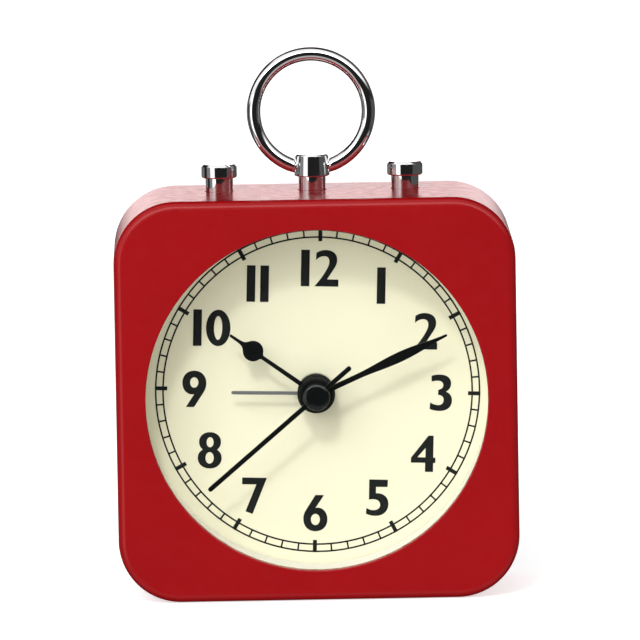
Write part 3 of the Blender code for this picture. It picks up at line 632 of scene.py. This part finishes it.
# minute track: two fine circles, a tick at each minute and a bolder one at each hour
v, f = [], []
LINE = 0.37
for r in (36.544, 34.892):
    s = Shell("Y")
    a, b = s.tube(circle(r + LINE / 2, 240, PRINT_X, CZ), DIAL_Y - 0.035, DIAL_Y + 0.02)
    p, q = s.tube(circle(r - LINE / 2, 240, PRINT_X, CZ), DIAL_Y - 0.035, DIAL_Y + 0.02)
    s.side(a, p)
    s.side(b, q)
    f += [tuple(i + len(v) for i in face) for face in s.f]
    v += s.v
for k in range(60):
    hour_tick = k % 5 == 0
    w = 0.45 if hour_tick else 0.19
    r0, r1 = (33.95, 36.75) if hour_tick else (34.95, 36.5)
    a = math.radians(6 * k)
    box = [on_dial(r * math.sin(a) + s_ * math.cos(a), r * math.cos(a) - s_ * math.sin(a))
           for r, s_ in ((r0, -w), (r0, w), (r1, w), (r1, -w))]
    s = Shell("Y")
    t0, t1 = s.tube(box, DIAL_Y - 0.038, DIAL_Y + 0.02)
    s.flat(t0)
    s.flat(t1)
    f += [tuple(i + len(v) for i in face) for face in s.f]
    v += s.v
piece("minute_track", v, f, "print_black", "case", slot="hand_black", weighted=False)


# ====================================================================================
# hands, hub and cap
# ====================================================================================
def hand(name, y, t, hub_r, hub_t, bore_r, angle, outline, mat, body, node, ease=0.09, hub_n=96):
    """Stamped hand: blade with eased edges and a round hub."""
    a = math.radians(angle)

    def place(r, w):
        return (CX + r * math.sin(a) + w * math.cos(a), CZ + r * math.cos(a) - w * math.sin(a))

    def loop(e):
        tip = [(r - (e if i == len(outline) - 1 else 0), max(w - e, 0.03))
               for i, (r, w) in enumerate(outline) if r > 0]
        tail = [(r + (e if r == min(o[0] for o in outline) else 0), max(w - e, 0.03)) for r, w in outline if r < 0]
        hr = hub_r - e
        t0 = math.asin(tip[0][1] / hr)
        pts = [place(r, w) for r, w in tip] + [place(r, -w) for r, w in reversed(tip)]
        end = (math.pi - math.asin(tail[0][1] / hr)) if tail else (2 * math.pi - t0)
        steps = hub_n // 2 if tail else hub_n
        ang = [t0 + (end - t0) * k / steps for k in range(1, steps)]
        pts += [place(hr * math.cos(q), -hr * math.sin(q)) for q in [t0] + ang + [end]]
        if tail:
            pts += [place(r, -w) for r, w in tail] + [place(r, w) for r, w in reversed(tail)]
            pts += [place(hr * math.cos(q), hr * math.sin(q)) for q in [end] + ang[::-1] + [t0]]
        return pts

    s = Shell("Y")
    front = s.ring(loop(ease), y - t / 2)
    mid0 = s.ring(loop(ease * 0.3), y - t / 2 + ease * 0.3)
    mid1 = s.ring(loop(0), y - t / 2 + ease)
    mid2 = s.ring(loop(0), y + t / 2 - ease * 0.5)
    back = s.ring(loop(ease * 0.5), y + t / 2)
    s.run([front, mid0, mid1, mid2, back])
    hr = hub_r - 0.25
    r1 = [s.ring(circle(hr, hub_n, *CEN), y - t / 2), s.ring(circle(hr, hub_n, *CEN), y - hub_t / 2 + 0.12),
          s.ring(circle(hr - 0.035, hub_n, *CEN), y - hub_t / 2 + 0.035),
          s.ring(circle(hr - 0.12, hub_n, *CEN), y - hub_t / 2)]
    r2 = [s.ring(circle(hr, hub_n, *CEN), y + t / 2), s.ring(circle(hr, hub_n, *CEN), y + hub_t / 2)]
    s.run(r1)
    s.run(r2)
    s.flat(front, r1[0])
    s.flat(back, r2[0])
    b0, b1 = s.tube(circle(bore_r, 48, *CEN), y - hub_t / 2, y + hub_t / 2)
    s.flat(r1[-1], b0)
    s.flat(r2[-1], b1)
    return piece(name, s.v, s.f, mat, body, replaces=(node,))


def smooth01(u):
    u = min(1.0, max(0.0, u))
    return 0.5 - 0.5 * math.cos(math.pi * u)


hour = [(4.4, 0.52), (14.75, 0.44)]
for k in range(1, 33):
    q = math.radians(14 + 126 * k / 32)
    hour.append((17.3 - 2.33 * math.cos(q), 2.33 * math.sin(q)))
for k in range(19):
    r = 19.5 + 4.0 * k / 18
    hour.append((r, 0.30 + 0.05 * (23.65 - r) / 3 + 0.75 * math.exp(-(r - 19.4) / 0.55)))
hour += [(23.6, 0.22), (23.65, 0.12)]
hand("hour_hand_stamped", HOUR_Y, 0.5, 4.25, 2.0, 1.5, HAND_HOUR, hour, "hand_satin", "hour_group", "hour_hand")
minute = [(4.0, 0.60), (9.6, 0.60)]
for k in range(45):
    r = 10.0 + 22.0 * k / 44
    if r < 20.6:
        w = 1.2 + 1.07 * smooth01(1 - (20.6 - r) / 10.6)
    else:
        w = 0.55 + 1.72 * smooth01(1 - (r - 20.6) / 11.8) ** 0.85
    minute.append((r, w / 2))
minute += [(32.3, 0.22), (32.4, 0.14)]
hand("minute_hand_stamped", MIN_Y, 0.5, 3.9, 1.3, 1.3, HAND_MIN, minute, "hand_satin", "minute_group", "minute_hand")
second = [(3.2, 0.535), (31.75, 0.535), (31.95, 0.47), (32.1, 0.35), (32.2, 0.12),
          (-3.2, 0.535), (-9.8, 0.535), (-9.98, 0.47), (-10.1, 0.35), (-10.2, 0.12)]
hand("second_hand_stamped", SEC_Y, 0.45, 2.7, 1.3, 0.7, HAND_SEC, second, "hand_satin", "second_train", "second_hand")
hand("alarm_hand_stamped", ALARM_Y, 0.5, 3.4, 0.9, 2.75, HAND_ALARM,
     [(3.5, 0.40), (18.7, 0.40), (18.95, 0.33), (19.1, 0.2)], "hand_grey", "alarm_group", "alarm_hand")

finish_piece(lathe("alarm_hub_disc", [(2.75, ALARM_Y + 0.75), (4.0, ALARM_Y + 0.75), (4.12, ALARM_Y + 0.79),
                                      (4.2, ALARM_Y + 0.93), (4.2, ALARM_Y + 1.42), (4.12, ALARM_Y + 1.5),
                                      (2.75, ALARM_Y + 1.5)], "Y", CEN, 128, closed=True),
             "hand_satin", "alarm_group", replaces=("alarm_hand_hub",))
Y0 = SEC_Y - 1.55
cap = [(0, Y0 - 0.0), (0.9, Y0 + 0.006), (1.6, Y0 + 0.04), (2.1, Y0 + 0.10), (2.5, Y0 + 0.20), (2.8, Y0 + 0.33),
       (3.0, Y0 + 0.50), (3.08, Y0 + 0.66), (3.06, Y0 + 0.74), (3.0, Y0 + 0.75), (0, Y0 + 0.75)]
finish_piece(lathe("second_hand_cap", cap, "Y", CEN, 128), "hand_black", "second_train", replaces=("hand_cap",))


# ====================================================================================
# chrome: buttons, post, carrying ring
# ====================================================================================
def button(name, x, body, node):
    prof = [(0, 79.6), (1.55, 79.6), (1.55, 86.6), (3.1, 86.6), (3.1, 93.4), (3.76, 93.4), (4.0, 93.64), (4.0, 96.0),
            (3.56, 96.5), (0, 96.5)]
    radii = [0.1, 0.05, 0.1, 0.08, 0.06, 0.10, 0.12, 0.12]
    return finish_piece(lathe(name, fillet(prof, radii, 4), "Z", (x, TOP_Y), 112), "chrome", body, replaces=(node,))


button("alarm_button_turned", -BTN_X, "alarm_button", "alarm_button")
button("snooze_button_turned", BTN_X, "snooze_button", "snooze_button")


def press_spring(name, x, body, node, z0=77.3, z1=85.05, mean=2.35, wire=0.26, turns=4.0, per=28, sides=10):
    """Wound wire spring with closed ends, built at one length; the real one shortens towards its upper end as the
    button goes down 2 mm.
    """
    v, f, rows = [], [], []
    for k in range(int((turns + 1) * per) + 1):
        u = k / per
        z = z0 + wire + (z1 - z0 - 2 * wire) * min(max(u - 0.5, 0.0), turns) / turns
        a = 2 * math.pi * u
        rows.append([])
        for j in range(sides):
            b = 2 * math.pi * j / sides
            r = mean + wire * math.cos(b)
            rows[-1].append(len(v))
            v.append((x + r * math.cos(a), TOP_Y + r * math.sin(a), z + wire * math.sin(b)))
    for p, q in zip(rows[:-1], rows[1:]):
        for j in range(sides):
            f.append((p[j], p[(j + 1) % sides], q[(j + 1) % sides], q[j]))
    f.append(tuple(reversed(rows[0])))
    f.append(tuple(rows[-1]))
    obj = piece(name, v, f, "steel", body, replaces=(node,), weighted=False)
    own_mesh(obj)
    return obj


press_spring("alarm_button_spring_wire", -BTN_X, "alarm_button", "alarm_button_spring")
press_spring("snooze_button_spring_wire", BTN_X, "snooze_button", "snooze_button_spring")

prof = [(0, 82.5), (2.0, 82.5), (2.0, 87.9), (3.05, 87.9), (3.05, 93.5), (3.78, 93.5), (3.98, 93.7), (3.7, 98.1),
        (3.4, 98.4), (0, 98.4)]
post = lathe("ring_post_turned", fillet(prof, [0.1, 0.05, 0.1, 0.08, 0.06, 0.08, 0.10, 0.10], 4), "Z", (0.0, TOP_Y), 112)
cut(post, lathe("pivot", [(0, -6), (1.2, -6), (1.2, 6), (0, 6)], "X", (TOP_Y, PIVOT_Z), 48))
for x0, x1 in ((-6, -3.5), (3.5, 6)):
    cut(post, lathe("seat", [(0, x0), (1.82, x0), (1.82, x1), (0, x1)], "X", (TOP_Y, PIVOT_Z), 56))
finish_piece(post, "chrome", "case", replaces=("ring_post",))

LZ = PIVOT_Z + math.sqrt(LOOP_R ** 2 - 3.8 ** 2)
half = math.asin(3.8 / LOOP_R)
N, S = 220, 40
path = [(-0.5, PIVOT_Z, 0.0, 0.75), (-0.65, PIVOT_Z, 0.0, 0.9), (-3.8, PIVOT_Z, 0.0, 0.9),
        (-3.8, PIVOT_Z, 0.0, LOOP_TUBE - 0.12), (-3.9, PIVOT_Z + 0.02, 0.0, LOOP_TUBE)]
for k in range(3, N - 2):
    q = half + (2 * math.pi - 2 * half) * k / N
    path.append((-LOOP_R * math.sin(q), LZ - LOOP_R * math.cos(q), q, LOOP_TUBE))
path += [(3.9, PIVOT_Z + 0.02, 0.0, LOOP_TUBE), (3.8, PIVOT_Z, 0.0, LOOP_TUBE - 0.12), (3.8, PIVOT_Z, 0.0, 0.9),
         (0.65, PIVOT_Z, 0.0, 0.9), (0.5, PIVOT_Z, 0.0, 0.75)]
v, f, rows = [], [], []
for x, z, q, r in path:
    row = []
    for j in range(S):
        b = 2 * math.pi * j / S
        row.append(len(v))
        v.append((x - r * math.cos(b) * math.sin(q), TOP_Y + r * math.sin(b), z - r * math.cos(b) * math.cos(q)))
    rows.append(row)
for a, b in zip(rows[:-1], rows[1:]):
    for j in range(S):
        f.append((a[j], a[(j + 1) % S], b[(j + 1) % S], b[j]))
f.append(tuple(rows[0]))
f.append(tuple(rows[-1]))
piece("carrying_ring_bent", v, f, "chrome", "carry_ring", replaces=("carry_ring",), smooth=50)


# ====================================================================================
# back: cover with battery bay, door, knobs, screws
# ====================================================================================
def eased_plate(name, outer, holes, y0, y1, e=0.25):
    """outer(inset) and each hole(grow) give their loop; the outside face at y1 has eased edges."""
    s = Shell("Y")
    steps = [(e * (1 - math.sin(t)), y1 - e * (1 - math.cos(t))) for t in [math.radians(90 * k / 4) for k in range(5)]]
    o = [s.ring(outer(d), y) for d, y in steps] + [s.ring(outer(0), y0)]
    s.run(o)
    tops, lows = [o[0]], [o[-1]]
    for h in holes:
        r = [s.ring(h(d), y) for d, y in steps] + [s.ring(h(0), y0)]
        s.run(r)
        tops.append(r[0])
        lows.append(r[-1])
    s.flat(*tops)
    s.flat(*lows)
    return raw(name, s.v, s.f)


bx, bz0, bz1 = 28.0, 5.9, 22.1


def cover_outer(d):
    return rrect(85.0 - 2 * d, 85.3 - 2 * d, 11.5 - d, 14, CX, CASE_H / 2)


def round_hole(x, z, r, n, phase):
    return lambda d: circle(r + d, n, x, z, phase)


def slot_hole(x, z):
    return lambda d: rrect(1.6 + 2 * d, 11.0 + 2 * d, 0.7 + d, 6, x, z)


def bay_hole(d):
    return rrect(2 * bx + 2 * d, bz1 - bz0 + 2 * d, 0.5 + d, 4, CX, (bz0 + bz1) / 2)


holes = [round_hole(*SETP, 1.75, 40, 0.05), round_hole(*ALSET, 1.75, 40, 0.09), bay_hole]
holes += [round_hole(x, z, 1.5, 28, 0.11 + 0.07 * k) for k, (x, z) in enumerate(BOSS)]
holes += [slot_hole(34.2 + dx, 33.0) for dx in (-4.8, -1.6, 1.6, 4.8)]
cover = eased_plate("back_cover_moulded", cover_outer, holes, COVER0, SEAT)
finish_piece(cover, "black_plastic", "case", replaces=("back_cover",))

# raised moulded collars round the two knobs and a plain arrow beside each
for i, (x, z) in enumerate((SETP, ALSET)):
    collar = lathe("knob_collar_%d" % (i + 1), fillet([(6.3, SEAT - 0.3), (6.3, SEAT + 0.18), (7.0, SEAT + 0.18),
                                                      (7.0, SEAT - 0.3)], [0.1, 0.1], 3), "Y", (x, z), 96, closed=True)
    finish_piece(collar, "black_plastic", "case")
    arrow, n = [], 18
    a0, a1 = math.radians(35), math.radians(115)
    arrow += [(x + 8.75 * math.cos(a0 + (a1 - a0) * k / n), z + 8.75 * math.sin(a0 + (a1 - a0) * k / n)) for k in range(n + 1)]
    arrow.append((x + 9.5 * math.cos(a1), z + 9.5 * math.sin(a1)))
    arrow.append((x + 8.4 * math.cos(a1 + 0.24), z + 8.4 * math.sin(a1 + 0.24)))
    arrow.append((x + 7.3 * math.cos(a1), z + 7.3 * math.sin(a1)))
    arrow += [(x + 8.05 * math.cos(a1 - (a1 - a0) * k / n), z + 8.05 * math.sin(a1 - (a1 - a0) * k / n)) for k in range(n + 1)]
    v, f = prisms("arrow", [[arrow]], SEAT - 0.1, SEAT + 0.16)
    piece("turn_arrow_%d" % (i + 1), v, f, "black_plastic", "case", weighted=False)

# battery bay with its walls, and the shelf under the switch board
s = Shell("Y")
outer = rrect(57.6, 17.7, 0.8, 4, CX, 13.95)
inner = rrect(54.8, 15.0, 0.6, 4, CX, 14.0)
oa, ob = s.tube(outer, COVER0 + 0.3, -1.4)
ia, ib = s.tube(inner, COVER0 + 0.3, -0.4)
s.flat(oa, ia)
s.flat(ib)
s.flat(ob)
piece("battery_bay_moulded", s.v, s.f, "black_plastic", "case")
s = Shell("Z")
a, b = s.tube(rrect(62.0, 17.0, 0.6, 4, 0.0, 7.3), 71.3, 72.6)
s.flat(a)
s.flat(b)
piece("switch_shelf_moulded", s.v, s.f, "black_plastic", "case")


# door: eased plate with three finger grooves cut across it
def door_outer(d):
    return rrect(55.4 - 2 * d, 15.6 - 2 * d, 0.5, 4, CX, 14.0)


door = eased_plate("battery_door_moulded", door_outer, [], COVER0 + 0.6, SEAT, 0.22)
for k in range(3):
    z = 18.6 + 0.9 * k
    s = Shell("X")
    g = [(SEAT + 0.3, z - 0.42), (SEAT - 0.05, z - 0.28), (SEAT - 0.5, z - 0.06), (SEAT - 0.5, z + 0.06),
         (SEAT - 0.05, z + 0.28), (SEAT + 0.3, z + 0.42)]
    a, b = s.tube(g, -6.0, 6.0)
    s.flat(a)
    s.flat(b)
    cut(door, raw("groove", s.v, s.f))
finish_piece(door, "black_plastic", "battery_door", replaces=("battery_door",))


def knob(name, at, body, node):
    y0, y1 = 17.7, 22.5
    ridges, per = 18, 10

    def loop(scale, depth=1.0):
        pts = []
        for k in range(ridges * per):
            t = 2 * math.pi * k / (ridges * per)
            r = 5.5 - 0.4 * depth * (0.5 - 0.5 * math.cos(ridges * t)) ** 0.7
            pts.append((at[0] + scale * r * math.cos(t), at[1] + scale * r * math.sin(t)))
        return pts

    s = Shell("Y")
    rings = [s.ring(loop(0.955, 0.6), y0), s.ring(loop(0.99), y0 + 0.15), s.ring(loop(1.0), y0 + 0.3)]
    for k in range(6):
        t = math.radians(90 * k / 5)
        rings.append(s.ring(loop(0.92 + 0.08 * math.cos(t), 1.0 - 0.75 * math.sin(t)), y1 - 0.5 + 0.5 * math.sin(t)))
    s.run(rings)
    dish = [s.ring(circle(r, ridges * per, *at), y) for r, y in
            ((4.45, y1), (4.3, y1 - 0.05), (4.15, y1 - 0.22), (4.0, y1 - 0.25))]
    s.side(rings[-1], dish[0])
    s.run(dish)
    s.flat(dish[-1])
    i0, i1 = s.tube(circle(1.5, 40, *at), y0, y1 - 1.5)
    s.flat(rings[0], i0)
    s.flat(i1)
    return piece(name, s.v, s.f, "black_plastic", body, replaces=(node,))


knob("time_set_knob_moulded", SETP, "time_knob", "time_set_knob")
knob("alarm_set_knob_moulded", ALSET, "alarm_knob", "alarm_set_knob")

for k, (x, z) in enumerate(BOSS):
    prof = fillet([(0, 5.0), (0.6, 5.0), (1.05, 5.9), (1.05, 17.3), (2.1, 17.3), (2.1, 18.05), (1.65, 18.5), (0, 18.5)],
                  [0, 0.05, 0.05, 0.08, 0.25, 0.2], 4)
    screw = lathe("screw_pan_%d" % (k + 1), prof, "Y", (x, z), 48)
    turn_k = 0.35 + 0.9 * k
    cross = [(-1.35, -0.22), (-0.32, -0.32), (-0.22, -1.35), (0.22, -1.35), (0.32, -0.32), (1.35, -0.22), (1.35, 0.22),
             (0.32, 0.32), (0.22, 1.35), (-0.22, 1.35), (-0.32, 0.32), (-1.35, 0.22)]
    s = Shell("Y")
    rot = [(x + a * math.cos(turn_k) - b * math.sin(turn_k), z + a * math.sin(turn_k) + b * math.cos(turn_k)) for a, b in cross]
    a, b = s.tube(rot, 17.75, 20.0)
    s.flat(a)
    s.flat(b)
    cut(screw, raw("cross", s.v, s.f))
    finish_piece(screw, "steel", "case", replaces=("back_screw_%d" % (k + 1),))

# ====================================================================================
# carried-over CAD nodes
# ====================================================================================
CAD = {
    "lens": "clear_lens", "dial_plate": "dial_cream", "dial_nut": "hand_black",
    "movement_front_plate": "natural_plastic", "movement_housing": "natural_plastic", "middle_plate": "wheel_plastic",
    "seconds_wheel": "wheel_plastic", "minute_wheel": "wheel_plastic", "hour_wheel": "wheel_plastic",
    "alarm_wheel": "wheel_plastic", "third_wheel": "wheel_plastic", "intermediate_wheel": "wheel_plastic",
    "motion_wheel": "wheel_plastic", "rotor": "magnet", "time_set_arbor": "natural_plastic",
    "alarm_set_arbor": "natural_plastic", "stator": "steel", "coil": "copper_winding", "circuit_board": "board_green",
    "buzzer": "black_plastic", "ring_post_nut": "steel", "alarm_button_clip": "steel", "snooze_button_clip": "steel",
    "alarm_button_spring": "steel", "snooze_button_spring": "steel", "alarm_button_switch": "black_plastic",
    "snooze_button_switch": "black_plastic", "switch_board": "board_green", "battery_cell": "battery_sleeve",
    "battery_contact_plus": "steel", "battery_contact_minus": "steel",
}
for node, mat in CAD.items():
    o = NODES[node]
    if not o.material_slots:
        o.data.materials.append(MATS[mat])
    for slot in o.material_slots:
        slot.material = MATS[mat]
for node, o in NODES.items():
    if node not in CAD and not o.hide_render:
        raise RuntimeError("no material for " + node)

# ====================================================================================
# stage: floor, light, camera
# ====================================================================================
bpy.ops.mesh.primitive_grid_add(x_subdivisions=2, y_subdivisions=2, size=9.0, location=(0, 0.6, -0.0002))
floor = bpy.context.object
floor.name = "studio_floor"
fm = Mat("floor_pale")
fm.colour(fm.mix(fm.remap(fm.noise(6.0, 4.0), 0.0, 1.0), (0.90, 0.90, 0.90), (0.93, 0.93, 0.93)))
fm.rough(fm.remap(fm.noise(40.0, 3.0), 0.55, 0.7))
fm.bump([(fm.noise(300.0, 3.0), 0.05, 1e-4)])
fm.set(Emission_Color=(1.0, 1.0, 1.0, 1.0), Emission_Strength=0.62)
floor.data.materials.append(fm.m)

# the light on the object comes from the lamps and the world alone
floor.visible_glossy = False
floor.visible_diffuse = False

world = bpy.data.worlds.new("studio")
scene.world = world
world.use_nodes = True
nt = world.node_tree
nt.nodes.clear()
wout = nt.nodes.new("ShaderNodeOutputWorld")
tc = nt.nodes.new("ShaderNodeTexCoord")
sep = nt.nodes.new("ShaderNodeSeparateXYZ")
nt.links.new(tc.outputs["Generated"], sep.inputs[0])


def wmath(op, a, b, clamp=False):
    n = nt.nodes.new("ShaderNodeMath")
    n.operation, n.use_clamp = op, clamp
    for i, val in enumerate((a, b)):
        if isinstance(val, (int, float)):
            n.inputs[i].default_value = val
        else:
            nt.links.new(val, n.inputs[i])
    return n.outputs[0]


def wstep(value, a, b, lo=0.0, hi=1.0):
    n = nt.nodes.new("ShaderNodeMapRange")
    n.interpolation_type = "SMOOTHSTEP"
    for key, val in (("From Min", a), ("From Max", b), ("To Min", lo), ("To Max", hi)):
        n.inputs[key].default_value = val
    nt.links.new(value, n.inputs["Value"])
    return n.outputs["Result"]


def wmax(a, b):
    return wmath("MAXIMUM", a, b)


def wmul(*terms):
    out = terms[0]
    for t in terms[1:]:
        out = wmath("MULTIPLY", out, t)
    return out


dx, dy, dz = sep.outputs["X"], sep.outputs["Y"], sep.outputs["Z"]
front = wmath("MULTIPLY", dy, -1.0)
# what polished parts mirror: a broad bank of light over the front edge of the table ...
bank_rear = wmath("ADD", front, wmath("MULTIPLY", dx, -0.30))
bank = wmul(wstep(front, 0.84, 0.76, 0.0, 1.0), wstep(bank_rear, -0.18, -0.08, 0.0, 1.0), wstep(dz, 0.02, 0.12, 0.0, 1.0))
right_low = wmul(wstep(dx, 0.25, 0.45, 0.0, 1.0), wstep(dz, 0.42, 0.22, 0.0, 1.0))
left_back = wmul(wstep(dx, -0.58, -0.68, 0.0, 1.0), wstep(front, 0.02, -0.06, 0.0, 1.0))
bank = wmul(bank, wmath("SUBTRACT", 1.0, right_low), wmath("SUBTRACT", 1.0, left_back))
# ... white and grey panels round it, level with the object
level = wmul(wstep(dz, -0.42, -0.30, 0.0, 1.0), wstep(dz, 0.16, 0.04, 0.0, 1.0))
azim = wmath("ARCTAN2", dx, front)
left_panel = wmul(level, wstep(azim, -1.10, -0.92, 0.0, 1.0), wstep(azim, -0.48, -0.60, 0.0, 1.0))
left_side = wmul(level, wstep(azim, -1.62, -1.40, 0.0, 1.0), wstep(azim, -0.92, -1.10, 0.0, 1.0))
left_rear = wmul(level, wstep(azim, -1.85, -2.05, 0.0, 1.0))
right_panel = wmul(level, wstep(azim, 0.80, 1.0, 0.0, 1.0))
right_rear = wmul(wstep(dx, 0.2, 0.4, 0.0, 1.0), wstep(bank_rear, -0.08, -0.18, 0.0, 1.0), wstep(dz, 0.1, 0.3, 0.0, 1.0))
# ... and the table in front
table = wmul(wstep(dz, -0.36, -0.46, 0.0, 1.0), wstep(dz, -0.93, -0.85, 0.0, 1.0), wstep(front, -0.1, 0.1, 0.0, 1.0))
strip = wmul(wstep(front, 0.87, 0.81, 0.0, 1.0), wstep(front, 0.58, 0.64, 0.0, 1.0), wstep(dz, 0.30, 0.42, 0.0, 1.0))
glossy = wmath("ADD", 0.014, wmath("ADD", wmul(bank, 1.0), wmul(strip, 3.2)))
for part, k in ((left_panel, 1.6), (left_side, 0.20), (left_rear, 0.15), (right_panel, 0.065), (right_rear, 0.06),
                (table, 0.42)):
    glossy = wmath("ADD", glossy, wmul(part, k))
# the warm pale backdrop low behind it
back = wmul(wstep(dy, 0.82, 0.93, 0.0, 1.0), wstep(dz, -0.01, 0.01, 0.0, 1.0), wstep(dz, 0.26, 0.17, 0.0, 1.0))
# soft fill for everything else, stronger from the front
fill = wmul(wstep(front, -0.5, 0.5, 0.62, 0.95), wstep(dz, 0.15, 0.8, 1.0, 0.40))
lp = nt.nodes.new("ShaderNodeLightPath")
bg_plain, bg_gloss, bg_back, bg_cam = (nt.nodes.new("ShaderNodeBackground") for _ in range(4))
nt.links.new(fill, bg_plain.inputs["Strength"])
nt.links.new(wmul(back, 2.15), bg_back.inputs["Strength"])
bg_cam.inputs["Strength"].default_value = 1.0
nt.links.new(glossy, bg_gloss.inputs["Strength"])
mix1, mix2 = nt.nodes.new("ShaderNodeMixShader"), nt.nodes.new("ShaderNodeMixShader")
nt.links.new(lp.outputs["Is Glossy Ray"], mix1.inputs[0])
nt.links.new(bg_plain.outputs[0], mix1.inputs[1])
both = nt.nodes.new("ShaderNodeAddShader")
nt.links.new(bg_gloss.outputs[0], both.inputs[0])
nt.links.new(bg_back.outputs[0], both.inputs[1])
nt.links.new(both.outputs[0], mix1.inputs[2])
nt.links.new(lp.outputs["Is Camera Ray"], mix2.inputs[0])
nt.links.new(mix1.outputs[0], mix2.inputs[1])
nt.links.new(bg_cam.outputs[0], mix2.inputs[2])
nt.links.new(mix2.outputs[0], wout.inputs[0])
for bg in (bg_plain, bg_gloss, bg_cam):
    bg.inputs["Color"].default_value = (1, 1, 1, 1)
bg_back.inputs["Color"].default_value = (1, 0.82, 0.82, 1)

aim = Vector((0.0, -0.0036, 0.045))


def lamp(name, toward, distance, width, height, power):
    """Rectangular soft box aimed at the dial; toward is measured per unit of distance in front."""
    light = bpy.data.lights.new(name, "AREA")
    light.shape = "RECTANGLE"
    light.size, light.size_y, light.energy = width, height, power
    o = bpy.data.objects.new(name, light)
    o.location = aim + Vector(toward) * distance
    o.rotation_euler = (aim - o.location).to_track_quat("-Z", "Y").to_euler()
    o.visible_glossy = False
    scene.collection.objects.link(o)
    return o


lamp("soft_bank", (-0.42, -1.0, 0.66), 1.5, 1.5, 1.6, 30.0)
lamp("key", (-0.20, -1.0, 0.72), 1.8, 0.25, 0.25, 15.5)

cam = bpy.data.cameras.new("photo_camera")
co = bpy.data.objects.new("photo_camera", cam)
scene.collection.objects.link(co)
cam.sensor_width = 36.0
cam.lens = 9882.5 * 36.0 / 640.0
cam.clip_start, cam.clip_end = 0.05, 60.0
yaw, pitch, roll = math.radians(0.674), math.radians(6.413), math.radians(-0.95)
F = Vector((math.sin(yaw) * math.cos(pitch), math.cos(yaw) * math.cos(pitch), -math.sin(pitch)))
R = Vector((math.cos(yaw), -math.sin(yaw), 0.0))
U = R.cross(F)
R2 = R * math.cos(roll) + U * math.sin(roll)
U2 = -R * math.sin(roll) + U * math.cos(roll)
co.matrix_world = Matrix(((R2.x, U2.x, -F.x, -0.024850), (R2.y, U2.y, -F.y, -2.218077), (R2.z, U2.z, -F.z, 0.310139),
                          (0, 0, 0, 1)))
scene.camera = co
scene.view_settings.view_transform = "Standard"
scene.view_settings.look = "None"
